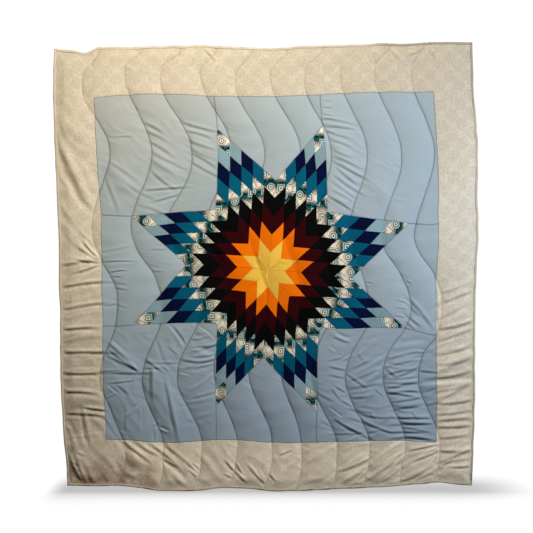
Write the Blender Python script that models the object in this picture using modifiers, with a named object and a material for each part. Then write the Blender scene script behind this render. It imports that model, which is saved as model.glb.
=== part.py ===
"""A pieced star quilt, about 1.9 m wide and 2 m tall, hung by its top edge from four brass tacks.

The quilt is drawn twice. In the flat cut, every seam is straight: eight star points around a centre,
squares and triangles that fill a square field, a border, and a binding round the edge. The hang then
pulls each seam join to where it lies on the wall, and the quilting sinks its wavy lines into the loft.

X runs to the viewer's right and Z up. The face looks along -Y. The origin lies inside the binding, at
the middle of the top edge.
"""

import math

import bmesh
import bpy
import numpy as np
from mathutils import Vector

# The flat cut, in metres. Each star point is five diamond strips wide.
STRIP_HEIGHT = 0.0508
STRIPS_IN_POINT = 5
FIELD_SIDE = 1.524
SIDE_BORDER_WIDTH = 0.163
END_BORDER_WIDTH = 0.207
BINDING_WIDTH = 0.009
SEAM_GAP = 0.0003

POINT_SIDE = STRIPS_IN_POINT * STRIP_HEIGHT / math.sin(math.radians(45))
TIP_REACH = 2 * POINT_SIDE * math.cos(math.radians(22.5))
TIP_OFFSET = TIP_REACH * math.sin(math.radians(22.5))
TIP_OUT = TIP_REACH * math.cos(math.radians(22.5))
HALF_FIELD = FIELD_SIDE / 2
BORDER_RIGHT = HALF_FIELD + SIDE_BORDER_WIDTH
BORDER_TOP = HALF_FIELD + END_BORDER_WIDTH
EDGE_RIGHT = BORDER_RIGHT + BINDING_WIDTH
EDGE_TOP = BORDER_TOP + BINDING_WIDTH

# Where one seam meets another, the pieces on both sides have a point, so they bend alike in the hang.
SEAM_JOINS = (TIP_OFFSET, TIP_OUT, HALF_FIELD)

# The layers' thickness, and how far the filling swells between two quilting lines.
STITCHED_THICKNESS = 0.004
FRONT_LOFT = 0.008
BACK_LOFT = 0.004
EDGE_LOFT_SHARE = 0.25
EDGE_SOFTENING = 0.045
BINDING_PROFILE = (
    # place, distance in from the edge, half thickness
    ("fold", 0.0, 0.0014),
    ("crown", 0.0040, 0.0036),
    ("stitching", BINDING_WIDTH, 0.0032),
)

# Each quilting line is one wave that runs from the top edge to the bottom one.
WAVE_LENGTH = 0.648
WAVE_START = -0.290
WAVE_DRIFT = -0.020
QUILTING_LINES = (
    # line, place across the cut, swing to each side
    ("left_1", -0.735, 0.044),
    ("left_2", -0.564, 0.046),
    ("left_3", -0.400, 0.050),
    ("left_4", -0.238, 0.050),
    ("left_5", -0.076, 0.050),
    ("right_1", 0.088, 0.050),
    ("right_2", 0.252, 0.048),
    ("right_3", 0.412, 0.048),
    ("right_4", 0.574, 0.052),
    ("right_5", 0.730, 0.046),
)
LINE_STRAYS = {
    # line: places up the cut, each with how far the sewing strays there to the right of the even wave
    "left_1": (
        (-0.93, 0.029), (-0.70, -0.022), (-0.58, -0.017), (-0.30, 0.015), (-0.12, -0.001), (0.03, -0.022),
        (0.36, -0.016), (0.56, -0.003), (0.76, -0.022), (0.87, -0.012), (0.96, 0.040),
    ),
    "left_2": (
        (-0.95, 0.041), (-0.80, 0.002), (-0.62, -0.013), (-0.265, 0.050), (-0.05, 0.022), (0.09, -0.002),
        (0.88, 0.000), (0.965, 0.062),
    ),
    "left_3": (
        (-0.93, 0.042), (-0.80, 0.014), (-0.56, -0.006), (-0.27, 0.042), (0.00, 0.015), (0.25, 0.002),
        (0.37, 0.011), (0.55, -0.005), (0.77, -0.018), (0.87, -0.002), (0.95, 0.068),
    ),
    "left_4": ((-0.94, 0.045), (-0.83, 0.028), (-0.58, 0.016), (0.00, 0.004), (0.86, 0.003), (0.955, 0.064)),
    "left_5": (
        (-0.88, 0.047), (-0.80, 0.040), (-0.68, 0.051), (-0.45, 0.039), (0.00, 0.020), (0.76, -0.020),
        (0.85, 0.000), (0.96, 0.064),
    ),
    "right_1": ((-0.90, 0.032), (-0.81, 0.025), (-0.56, 0.048), (0.00, 0.020), (0.86, -0.003), (0.96, 0.056)),
    "right_2": (
        (-0.90, 0.033), (-0.83, 0.023), (-0.74, 0.028), (-0.60, 0.017), (0.00, 0.005), (0.76, -0.011),
        (0.87, -0.001), (0.96, 0.056),
    ),
    "right_3": (
        (-0.93, 0.014), (-0.82, 0.003), (-0.55, -0.004), (-0.275, 0.015), (-0.07, -0.019), (0.03, -0.011),
        (0.60, 0.000), (0.88, 0.000), (0.96, 0.045),
    ),
    "right_4": (
        (-0.97, 0.018), (-0.86, -0.012), (-0.75, -0.011), (-0.38, 0.000), (-0.26, 0.017), (0.03, 0.008),
        (0.15, -0.022), (0.77, -0.006), (0.88, -0.003), (0.965, 0.031),
    ),
    "right_5": (
        (-0.96, 0.020), (-0.85, -0.003), (-0.78, -0.014), (-0.60, -0.017), (-0.36, -0.010), (-0.26, 0.011),
        (0.00, 0.010), (0.21, -0.034), (0.77, -0.005), (0.88, -0.001), (0.96, 0.022),
    ),
}

# The mesh follows the quilting: rows across the height, and these columns inside each channel.
ROWS_IN_WAVE = 12
ROW_HEIGHT = WAVE_LENGTH / ROWS_IN_WAVE
CHANNEL_PROFILE = (
    # column, share of the channel's width, share of its loft
    ("line", 0.0, 0.0),
    ("left_swell", 0.18, 0.66),
    ("crown", 0.5, 1.0),
    ("right_swell", 0.82, 0.66),
)

# How the quilt hangs: the flat cut is stretched a little by its weight, and each join is pulled further.
HUNG_CENTRE = (0.007, -0.987)
HUNG_STRETCH = 1.015
CENTRE_PULL = (0.006, -0.010)
POINT_PULLS = (
    # star point, its tip pulled right, up, the inner corner before it pulled right, up
    ("right_upper", 0.017, -0.057, 0.016, -0.044),
    ("top_right", -0.007, 0.014, 0.015, -0.008),
    ("top_left", 0.028, 0.000, 0.035, 0.026),
    ("left_upper", 0.001, -0.025, 0.020, 0.002),
    ("left_lower", 0.010, 0.000, -0.003, 0.015),
    ("bottom_left", 0.022, 0.003, 0.026, 0.007),
    ("bottom_right", -0.033, -0.021, -0.019, -0.035),
    ("right_lower", 0.004, -0.015, -0.023, -0.017),
)
FIELD_PULLS = (
    # join on the field's edge, across, up, pulled right, up
    ("top_left_corner", -HALF_FIELD, HALF_FIELD, -0.019, -0.010),
    ("top_left_far_pull", -0.660, HALF_FIELD, -0.0125, 0.0015),
    ("top_left_pull", -0.500, HALF_FIELD, -0.002, 0.0085),
    ("top_left_near_pull", -0.340, HALF_FIELD, 0.0085, 0.004),
    ("top_left_seam", -TIP_OFFSET, HALF_FIELD, 0.012, -0.001),
    ("top_middle", 0.040, HALF_FIELD, -0.0015, -0.002),
    ("top_right_seam", TIP_OFFSET, HALF_FIELD, -0.019, 0.004),
    ("top_right_pull", 0.500, HALF_FIELD, -0.018, 0.0165),
    ("top_right_corner", HALF_FIELD, HALF_FIELD, -0.016, 0.018),
    ("right_upper_seam", HALF_FIELD, TIP_OFFSET, 0.006, -0.059),
    ("right_middle", HALF_FIELD, -0.030, -0.004, -0.034),
    ("right_lower_seam", HALF_FIELD, -TIP_OFFSET, -0.004, -0.045),
    ("bottom_right_corner", HALF_FIELD, -HALF_FIELD, -0.004, -0.011),
    ("bottom_right_pull", 0.640, -HALF_FIELD, -0.009, -0.005),
    ("bottom_right_seam", TIP_OFFSET, -HALF_FIELD, -0.036, -0.011),
    ("bottom_left_seam", -TIP_OFFSET, -HALF_FIELD, 0.022, 0.000),
    ("bottom_left_pull", -0.460, -HALF_FIELD, 0.0315, -0.013),
    ("bottom_left_corner", -HALF_FIELD, -HALF_FIELD, 0.036, 0.003),
    ("left_lower_seam", -HALF_FIELD, -TIP_OFFSET, 0.022, -0.005),
    ("left_middle", -HALF_FIELD, 0.000, 0.0165, -0.008),
    ("left_upper_seam", -HALF_FIELD, TIP_OFFSET, 0.013, -0.021),
)
EDGE_PULLS = {
    # share of the way along the edge, from the left or the top, pulled right, up
    "top": (
        (0.00, -0.025, -0.008),
        (0.05, -0.024, -0.018),
        (0.075, -0.024, -0.024),
        (0.10, -0.024, -0.005),
        (0.165, -0.0235, -0.0015),
        (0.26, -0.022, 0.004),
        (0.36, -0.020, 0.007),
        (0.54, -0.018, -0.004),
        (0.60, -0.017, 0.005),
        (0.72, -0.0175, 0.010),
        (0.80, -0.015, 0.016),
        (0.84, -0.015, 0.013),
        (0.89, -0.014, 0.021),
        (1.00, -0.013, 0.022),
    ),
    "bottom": (
        (0.00, 0.033, 0.012),
        (0.06, 0.030, 0.011),
        (0.155, 0.026, 0.010),
        (0.22, 0.023, -0.007),
        (0.32, 0.018, -0.008),
        (0.40, 0.014, 0.004),
        (0.505, 0.009, -0.010),
        (0.65, 0.002, -0.004),
        (0.80, -0.005, 0.010),
        (0.92, -0.010, 0.027),
        (1.00, -0.014, 0.015),
    ),
    "left": (
        (0.05, -0.029, -0.007),
        (0.12, -0.029, -0.006),
        (0.27, -0.018, -0.003),
        (0.36, -0.011, -0.001),
        (0.54, -0.003, 0.003),
        (0.71, 0.002, 0.006),
        (0.87, 0.015, 0.010),
        (0.94, 0.027, 0.011),
    ),
    "right": (
        (0.06, -0.010, 0.022),
        (0.13, -0.004, 0.021),
        (0.20, 0.009, 0.021),
        (0.36, 0.013, 0.020),
        (0.44, 0.015, 0.019),
        (0.53, 0.006, 0.018),
        (0.74, 0.000, 0.017),
        (0.92, -0.008, 0.016),
    ),
}

# The main folds: soft ridges that stand towards the viewer, or troughs where the rise is negative.
MAIN_FOLDS = (
    # fold, across, up, direction in degrees, half length, half width, rise
    ("top_left_swag", -0.815, -0.052, 0, 0.080, 0.035, -0.005),
    ("left_border_upper_crease", -0.864, -0.372, -38, 0.080, 0.030, 0.005),
    ("left_border_middle_crease", -0.832, -0.963, 14, 0.095, 0.030, 0.005),
    ("left_border_lower_crease", -0.826, -1.285, 0, 0.080, 0.028, 0.004),
    ("left_border_low_ridge", -0.824, -1.578, 8, 0.095, 0.032, 0.006),
    ("bottom_left_corner_pull", -0.846, -1.848, -67, 0.100, 0.032, 0.006),
    ("upper_left_outer_pull", -0.652, -0.588, -49, 0.110, 0.032, 0.005),
    ("upper_left_middle_pull", -0.464, -0.529, -43, 0.090, 0.032, 0.005),
    ("upper_left_inner_pull", -0.284, -0.439, -35, 0.090, 0.032, 0.005),
    ("upper_right_inner_pull", 0.351, -0.480, -50, 0.080, 0.030, 0.005),
    ("upper_right_star_pull", 0.333, -0.673, -42, 0.070, 0.030, 0.004),
    ("upper_right_middle_pull", 0.522, -0.651, -55, 0.120, 0.036, 0.005),
    ("right_border_upper_ripple", 0.850, -1.231, 36, 0.090, 0.032, 0.006),
    ("right_border_middle_ripple", 0.860, -1.402, 23, 0.090, 0.030, 0.006),
    ("right_border_lower_ripple", 0.855, -1.500, 2, 0.085, 0.028, -0.004),
    ("lower_right_star_fold", 0.472, -1.470, 57, 0.120, 0.034, 0.005),
    ("lower_right_middle_fold", 0.612, -1.411, 33, 0.080, 0.030, 0.004),
    ("lower_right_low_fold", 0.675, -1.677, 0, 0.090, 0.030, 0.004),
    ("bottom_right_pull", 0.522, -1.870, 33, 0.085, 0.032, 0.006),
    ("lower_left_cross_fold", -0.630, -1.393, -45, 0.090, 0.030, 0.005),
    ("lower_left_ridge", -0.495, -1.519, -84, 0.130, 0.034, 0.006),
    ("lower_left_inner_ridge", -0.423, -1.623, -75, 0.120, 0.032, 0.005),
    ("bottom_left_pull", -0.562, -1.866, -37, 0.090, 0.034, 0.006),
    ("bottom_middle_wave", 0.020, -1.940, 88, 0.110, 0.070, 0.007),
)
BILLOW = 0.006
BILLOW_ACROSS = 1.15
BILLOW_UP = 1.70

# Brass tacks through the top binding, as shares of the way along the edge from the left.
TACK_PLACES = (("tack_1", 0.358), ("tack_2", 0.800), ("tack_3", 0.891), ("tack_4", 0.982))
TACK_HEAD_RADIUS = 0.0042
TACK_HEAD_HEIGHT = 0.0022
TACK_RIM = 0.0005
TACK_SHANK_RADIUS = 0.0007
TACK_SHANK_LENGTH = 0.0160
TACK_POINT_LENGTH = 0.0030
TACK_HOLE_RADIUS = 0.0011
TACK_HOLE_DEPTH = 0.0220
TACK_SEAT_GAP = 0.0005
TACK_SIDES = 12
DOME_STEPS = 4

# Mesh tolerances: how near two points are one, and the turn past which an edge is drawn sharp.
SAME_POINT = 0.000001
WELD_REACH = 0.00001
SHARP_TURN = 55


def clear_scene():
    for thing in list(bpy.data.objects):
        bpy.data.objects.remove(thing, do_unlink=True)


def new_collection(name):
    collection = bpy.data.collections.new(name)
    bpy.context.scene.collection.children.link(collection)
    return collection


def new_material(name, colour, roughness, metallic=0.0):
    material = bpy.data.materials.new(name)
    material.use_nodes = True
    shader = material.node_tree.nodes["Principled BSDF"]
    shader.inputs["Base Color"].default_value = (*colour, 1.0)
    shader.inputs["Roughness"].default_value = roughness
    shader.inputs["Metallic"].default_value = metallic
    return material


def polar(radius, degrees):
    angle = math.radians(degrees)
    return (radius * math.cos(angle), radius * math.sin(angle))


def smooth_share(value):
    share = np.clip(value, 0.0, 1.0)
    return share * share * (3.0 - 2.0 * share)


def line_stray(line, up):
    """How far a quilting line strays to the right of its wave at each height, eased from row to row."""
    rows = LINE_STRAYS[line]
    stray = np.full(len(up), rows[0][1])
    for (low, first), (high, last) in zip(rows, rows[1:]):
        stray += (last - first) * smooth_share((up - low) / (high - low))
    return stray


def line_places(up):
    """Where each quilting line crosses a given height of the flat cut, one column for each line."""
    up = np.asarray(up)
    wave = np.sin(2.0 * math.pi * (up - WAVE_START) / WAVE_LENGTH)
    columns = [
        place + swing * wave + WAVE_DRIFT * up + line_stray(line, up)
        for line, place, swing in QUILTING_LINES
    ]
    return np.stack(columns, axis=1)


def channel_sides(up):
    """The quilting lines, and just past the side edges one straight side for the outermost channels."""
    lines = line_places(up)
    past_edge = np.full((len(lines), 1), EDGE_RIGHT + BINDING_WIDTH)
    return np.hstack([-past_edge, lines, past_edge])


def channel_of(across, up):
    """A place across the cut as a channel number: whole on a quilting line, with its share between two."""
    lines = channel_sides(up)
    numbers = np.arange(lines.shape[1])
    return np.array([np.interp(a, row, numbers) for a, row in zip(across, lines)])


def across_of(channel, up):
    """The place across the cut that a channel number stands for."""
    lines = channel_sides(up)
    numbers = np.arange(lines.shape[1])
    return np.array([np.interp(c, numbers, row) for c, row in zip(channel, lines)])


def hang_joins():
    """The joins of the flat cut and where each of them hangs."""
    flat = [(0.0, 0.0)]
    pull = [CENTRE_PULL]
    for index, (_, tip_right, tip_up, inner_right, inner_up) in enumerate(POINT_PULLS):
        flat += [polar(TIP_REACH, 45 * index + 22.5), polar(POINT_SIDE, 45 * index)]
        pull += [(tip_right, tip_up), (inner_right, inner_up)]
    for _, across, up, right, raised in FIELD_PULLS:
        flat.append((across, up))
        pull.append((right, raised))
    for side, rows in EDGE_PULLS.items():
        for share, right, raised in rows:
            along = 2.0 * share - 1.0
            place = {
                "top": (along * EDGE_RIGHT, EDGE_TOP),
                "bottom": (along * EDGE_RIGHT, -EDGE_TOP),
                "left": (-EDGE_RIGHT, -along * EDGE_TOP),
                "right": (EDGE_RIGHT, -along * EDGE_TOP),
            }[side]
            flat.append(place)
            pull.append((right, raised))
    flat = np.array(flat)
    hung = flat * (1.0, HUNG_STRETCH) + HUNG_CENTRE + np.array(pull)
    return flat, hung


def plate_kernel(points, joins):
    squared = ((points[:, None, :] - joins[None, :, :]) ** 2).sum(axis=2)
    return 0.5 * squared * np.log(np.maximum(squared, SAME_POINT**2))


def plate_terms(points):
    return np.hstack([np.ones((len(points), 1)), points])


def fit_hang():
    """A thin bending plate drawn through every join, which carries the cloth between them smoothly."""
    flat, hung = hang_joins()
    count = len(flat)
    system = np.zeros((count + 3, count + 3))
    system[:count, :count] = plate_kernel(flat, flat)
    system[:count, count:] = plate_terms(flat)
    system[count:, :count] = plate_terms(flat).T
    wanted = np.vstack([hung, np.zeros((3, 2))])
    weights = np.linalg.solve(system, wanted)
    return lambda points: plate_kernel(points, flat) @ weights[:count] + plate_terms(points) @ weights[count:]


hang = fit_hang()


def middle_layer(hung):
    """How far the middle of the layers lies behind the XZ plane: a slow billow and the main folds."""
    across = hung[:, 0]
    up = hung[:, 1]
    billow = np.sin(2.0 * math.pi * across / BILLOW_ACROSS) * np.sin(math.pi * up / BILLOW_UP)
    depth = BILLOW * billow
    for _, place_across, place_up, degrees, half_length, half_width, rise in MAIN_FOLDS:
        angle = math.radians(degrees)
        along = (across - place_across) * math.cos(angle) + (up - place_up) * math.sin(angle)
        aside = (up - place_up) * math.cos(angle) - (across - place_across) * math.sin(angle)
        depth -= rise * np.exp(-((along / half_length) ** 2) - (aside / half_width) ** 2)
    return depth


def edge_distance(flat):
    return np.minimum(EDGE_RIGHT - np.abs(flat[:, 0]), EDGE_TOP - np.abs(flat[:, 1]))


def half_thickness(flat, is_binding):
    """The layers' reach in front of their middle and behind it."""
    distance = edge_distance(flat)
    if is_binding:
        places = [row[1] for row in BINDING_PROFILE]
        halves = [row[2] for row in BINDING_PROFILE]
        half = np.interp(distance, places, halves)
        return half, half
    share = channel_of(flat[:, 0], flat[:, 1]) % 1.0
    columns = [row[1] for row in CHANNEL_PROFILE] + [1.0]
    swell = np.interp(share, columns, [row[2] for row in CHANNEL_PROFILE] + [0.0])
    inward = smooth_share((distance - BINDING_WIDTH) / EDGE_SOFTENING)
    swell = swell * (EDGE_LOFT_SHARE + (1.0 - EDGE_LOFT_SHARE) * inward)
    return STITCHED_THICKNESS / 2 + FRONT_LOFT * swell, STITCHED_THICKNESS / 2 + BACK_LOFT * swell


def cut(sheet, place, normal, keep_inside=False):
    geometry = sheet.verts[:] + sheet.edges[:] + sheet.faces[:]
    bmesh.ops.bisect_plane(
        sheet, geom=geometry, dist=SAME_POINT, plane_co=place, plane_no=normal, clear_outer=keep_inside
    )


def outline_sides(corners):
    """For each side of an outline, a place half a seam gap inside its seam and the way out of the piece."""
    sides = []
    for start, end in zip(corners, corners[1:] + corners[:1]):
        run = (end[0] - start[0], end[1] - start[1])
        outward = Vector((run[1], 0.0, -run[0])).normalized()
        sides.append((Vector((start[0], 0.0, start[1])) - outward * SEAM_GAP / 2, outward))
    return sides


def cut_outline(sides):
    """The flat cut of one piece: a sheet trimmed along each side."""
    sheet = bmesh.new()
    bmesh.ops.create_grid(sheet, x_segments=1, y_segments=1, size=EDGE_TOP + ROW_HEIGHT)
    for vertex in sheet.verts:
        vertex.co = (vertex.co.x, 0.0, vertex.co.y)
    for place, outward in sides:
        cut(sheet, place, outward, keep_inside=True)
    return sheet


def straighten_outline(sheet, sides):
    """Puts the outline's points back on its straight sides, which the cuts along the quilting bend."""
    for vertex in sheet.verts:
        if vertex.is_boundary:
            missed = [(place - vertex.co).dot(outward) for place, outward in sides]
            nearest = min(range(len(sides)), key=lambda side: abs(missed[side]))
            vertex.co += sides[nearest][1] * missed[nearest]


def cut_rows_and_columns(sheet):
    """Lines of points across the piece, and along the quilting, that the loft is raised on."""
    ups = [vertex.co.z for vertex in sheet.verts]
    for row in range(math.ceil(min(ups) / ROW_HEIGHT), math.floor(max(ups) / ROW_HEIGHT) + 1):
        cut(sheet, (0.0, 0.0, row * ROW_HEIGHT), (0.0, 0.0, 1.0))
    vertices = list(sheet.verts)
    flat = np.array([(vertex.co.x, vertex.co.z) for vertex in vertices])
    for vertex, channel in zip(vertices, channel_of(flat[:, 0], flat[:, 1])):
        vertex.co.x = channel
    channels = [vertex.co.x for vertex in sheet.verts]
    for channel in range(math.floor(min(channels)), math.ceil(max(channels))):
        for _, share, _ in CHANNEL_PROFILE:
            cut(sheet, (channel + share, 0.0, 0.0), (1.0, 0.0, 0.0))
    vertices = list(sheet.verts)
    flat = np.array([(vertex.co.x, vertex.co.z) for vertex in vertices])
    for vertex, across in zip(vertices, across_of(flat[:, 0], flat[:, 1])):
        vertex.co.x = across


def quilt_piece(name, corners, material, collection, is_binding=False, joins=SEAM_JOINS):
    """One piece of the quilt: its flat cut, hung in place and given its thickness."""
    sides = outline_sides(corners)
    sheet = cut_outline(sides)
    for join in joins:
        for side in (-1, 1):
            cut(sheet, (side * join, 0.0, 0.0), (1.0, 0.0, 0.0))
            cut(sheet, (0.0, 0.0, side * join), (0.0, 0.0, 1.0))
    if is_binding:
        for _, inward, _ in BINDING_PROFILE[1:-1]:
            for side in (-1, 1):
                cut(sheet, (side * (EDGE_RIGHT - inward), 0.0, 0.0), (1.0, 0.0, 0.0))
                cut(sheet, (0.0, 0.0, side * (EDGE_TOP - inward)), (0.0, 0.0, 1.0))
    cut_rows_and_columns(sheet)
    straighten_outline(sheet, sides)
    bmesh.ops.triangulate(sheet, faces=sheet.faces[:])
    bmesh.ops.recalc_face_normals(sheet, faces=sheet.faces[:])
    bmesh.ops.solidify(sheet, geom=sheet.faces[:], thickness=STITCHED_THICKNESS)
    vertices = list(sheet.verts)
    depths = np.array([vertex.co.y for vertex in vertices])
    in_front = depths < (depths.min() + depths.max()) / 2
    flat = np.array([(vertex.co.x, vertex.co.z) for vertex in vertices])
    hung = hang(flat)
    front, back = half_thickness(flat, is_binding)
    depth = middle_layer(hung) + np.where(in_front, -front, back)
    for vertex, (across, up), y in zip(vertices, hung, depth):
        vertex.co = (across, y, up)
    bmesh.ops.recalc_face_normals(sheet, faces=sheet.faces[:])
    mesh = bpy.data.meshes.new(name)
    sheet.to_mesh(mesh)
    sheet.free()
    mesh.shade_smooth()
    mesh.set_sharp_from_angle(angle=math.radians(SHARP_TURN))
    mesh.materials.append(material)
    piece = bpy.data.objects.new(name, mesh)
    collection.objects.link(piece)
    return piece


def turned(degrees, points):
    angle = math.radians(degrees)
    cosine, sine = math.cos(angle), math.sin(angle)
    return [(x * cosine - z * sine, x * sine + z * cosine) for x, z in points]


def tack_profile():
    """The half section of a tack, from the top of its domed head down to its point."""
    dome = [
        (TACK_HEAD_RADIUS * math.sin(turn), TACK_RIM + TACK_HEAD_HEIGHT * math.cos(turn))
        for turn in (math.radians(90) * step / DOME_STEPS for step in range(DOME_STEPS + 1))
    ]
    return dome + [
        (TACK_HEAD_RADIUS, 0.0),
        (TACK_SHANK_RADIUS, 0.0),
        (TACK_SHANK_RADIUS, TACK_POINT_LENGTH - TACK_SHANK_LENGTH),
        (0.0, -TACK_SHANK_LENGTH),
    ]


def place_tack(name, share, binding, material, collection, cutters):
    """A tack through the middle of the top binding, whose hole clears the shank all round."""
    flat = np.array([((2.0 * share - 1.0) * EDGE_RIGHT, EDGE_TOP - BINDING_WIDTH / 2)])
    hung = hang(flat)
    middle = middle_layer(hung)[0]
    crown = max(row[2] for row in BINDING_PROFILE)
    seat = middle - crown - TACK_SEAT_GAP

    mesh = bpy.data.meshes.new(name)
    profile = tack_profile()
    mesh.from_pydata([(x, 0.0, z) for x, z in profile], [(i, i + 1) for i in range(len(profile) - 1)], [])
    mesh.materials.append(material)
    tack = bpy.data.objects.new(name, mesh)
    tack.location = (hung[0, 0], seat, hung[0, 1])
    tack.rotation_euler = (math.radians(90), 0.0, 0.0)
    screw = tack.modifiers.new("turned", "SCREW")
    screw.steps = TACK_SIDES
    screw.render_steps = TACK_SIDES
    screw.use_merge_vertices = True
    screw.merge_threshold = WELD_REACH
    screw.use_smooth_shade = True
    collection.objects.link(tack)

    hole = bmesh.new()
    bmesh.ops.create_cone(
        hole,
        cap_ends=True,
        segments=TACK_SIDES,
        radius1=TACK_HOLE_RADIUS,
        radius2=TACK_HOLE_RADIUS,
        depth=TACK_HOLE_DEPTH,
    )
    cutter_mesh = bpy.data.meshes.new(name + "_hole")
    hole.to_mesh(cutter_mesh)
    hole.free()
    cutter = bpy.data.objects.new(name + "_hole", cutter_mesh)
    cutter.location = (hung[0, 0], middle, hung[0, 1])
    cutter.rotation_euler = (math.radians(90), 0.0, 0.0)
    cutter.hide_render = True
    cutter.display_type = "WIRE"
    cutters.objects.link(cutter)
    drilled = binding.modifiers.new(name + "_hole", "BOOLEAN")
    drilled.operation = "DIFFERENCE"
    drilled.solver = "EXACT"
    drilled.object = cutter


clear_scene()
quilt = new_collection("star_quilt")
cutters = new_collection("cutters")
star_cloth = new_material("star_patchwork", (0.05, 0.20, 0.32), 0.75)
field_cloth = new_material("blue_field", (0.42, 0.52, 0.58), 0.80)
border_cloth = new_material("cream_border", (0.66, 0.58, 0.45), 0.80)
binding_cloth = new_material("binding", (0.50, 0.44, 0.34), 0.80)
brass = new_material("brass", (0.80, 0.58, 0.25), 0.30, metallic=1.0)

star_point = [(0.0, 0.0), polar(POINT_SIDE, 0), polar(TIP_REACH, 22.5), polar(POINT_SIDE, 45)]
for index, (name, *_) in enumerate(POINT_PULLS):
    quilt_piece("star_point_" + name, turned(45 * index, star_point), star_cloth, quilt, joins=())

inner_corner = POINT_SIDE * math.cos(math.radians(45))
corner_square = [
    (inner_corner, inner_corner),
    (HALF_FIELD, inner_corner),
    (HALF_FIELD, HALF_FIELD),
    (inner_corner, HALF_FIELD),
]
for index, name in enumerate(("top_right", "top_left", "bottom_left", "bottom_right")):
    quilt_piece("corner_square_" + name, turned(90 * index, corner_square), field_cloth, quilt)

side_triangle = [
    (POINT_SIDE, 0.0),
    (TIP_OUT, -TIP_OFFSET),
    (HALF_FIELD, -TIP_OFFSET),
    (HALF_FIELD, TIP_OFFSET),
    (TIP_OUT, TIP_OFFSET),
]
for index, name in enumerate(("right", "top", "left", "bottom")):
    quilt_piece("side_triangle_" + name, turned(90 * index, side_triangle), field_cloth, quilt)

side_border = [
    (HALF_FIELD, -BORDER_TOP),
    (BORDER_RIGHT, -BORDER_TOP),
    (BORDER_RIGHT, BORDER_TOP),
    (HALF_FIELD, BORDER_TOP),
]
end_border = [
    (-HALF_FIELD, HALF_FIELD),
    (HALF_FIELD, HALF_FIELD),
    (HALF_FIELD, BORDER_TOP),
    (-HALF_FIELD, BORDER_TOP),
]
side_binding = [
    (BORDER_RIGHT, -BORDER_TOP),
    (EDGE_RIGHT, -EDGE_TOP),
    (EDGE_RIGHT, EDGE_TOP),
    (BORDER_RIGHT, BORDER_TOP),
]
end_binding = [
    (-BORDER_RIGHT, BORDER_TOP),
    (BORDER_RIGHT, BORDER_TOP),
    (EDGE_RIGHT, EDGE_TOP),
    (-EDGE_RIGHT, EDGE_TOP),
]
bindings = {}
for name, degrees, border, binding in (
    ("right", 0, side_border, side_binding),
    ("top", 0, end_border, end_binding),
    ("left", 180, side_border, side_binding),
    ("bottom", 180, end_border, end_binding),
):
    quilt_piece("border_" + name, turned(degrees, border), border_cloth, quilt)
    outline = turned(degrees, binding)
    bindings[name] = quilt_piece("binding_" + name, outline, binding_cloth, quilt, is_binding=True)

for name, share in TACK_PLACES:
    place_tack(name, share, bindings["top"], brass, quilt, cutters)
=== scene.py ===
import math

import bmesh
import bpy
import numpy as np
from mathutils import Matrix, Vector


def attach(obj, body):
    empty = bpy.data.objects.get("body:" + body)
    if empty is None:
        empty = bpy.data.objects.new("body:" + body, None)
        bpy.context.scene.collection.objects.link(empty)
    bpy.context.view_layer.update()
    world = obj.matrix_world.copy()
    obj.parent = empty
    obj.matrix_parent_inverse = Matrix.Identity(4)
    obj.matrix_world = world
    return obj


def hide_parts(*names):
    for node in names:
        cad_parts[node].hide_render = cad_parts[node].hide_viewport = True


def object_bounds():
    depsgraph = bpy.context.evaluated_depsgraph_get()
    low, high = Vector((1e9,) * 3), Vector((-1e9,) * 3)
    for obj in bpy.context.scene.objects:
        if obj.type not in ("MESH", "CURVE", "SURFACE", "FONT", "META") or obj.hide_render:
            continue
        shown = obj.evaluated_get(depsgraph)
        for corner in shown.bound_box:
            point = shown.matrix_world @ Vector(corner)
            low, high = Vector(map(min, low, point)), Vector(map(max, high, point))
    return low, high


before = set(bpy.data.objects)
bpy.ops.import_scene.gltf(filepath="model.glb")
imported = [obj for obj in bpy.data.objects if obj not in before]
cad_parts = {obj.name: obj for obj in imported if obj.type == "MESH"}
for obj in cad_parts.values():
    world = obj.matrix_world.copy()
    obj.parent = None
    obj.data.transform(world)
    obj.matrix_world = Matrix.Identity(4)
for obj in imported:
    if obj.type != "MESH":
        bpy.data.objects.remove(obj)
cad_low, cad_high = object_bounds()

# The eight star points. Each is twenty-five cotton diamonds, cut from strips and sewn edge to edge in
# nine rings of colour. The points are pieced flat, with straight seams, and the hang then bends them
# together with the rest of the quilt.
STRIP_HEIGHT = 0.0508
STRIPS_IN_POINT = 5
SEAM_GAP = 0.00005
POINT_SIDE = STRIPS_IN_POINT * STRIP_HEIGHT / math.sin(math.radians(45))
TIP_REACH = 2 * POINT_SIDE * math.cos(math.radians(22.5))
TIP_OFFSET = TIP_REACH * math.sin(math.radians(22.5))
TIP_OUT = TIP_REACH * math.cos(math.radians(22.5))
HALF_FIELD = 1.524 / 2
BINDING_WIDTH = 0.009
BORDER_RIGHT = HALF_FIELD + 0.163
BORDER_TOP = HALF_FIELD + 0.207
EDGE_RIGHT = BORDER_RIGHT + BINDING_WIDTH
EDGE_TOP = BORDER_TOP + BINDING_WIDTH

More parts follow.
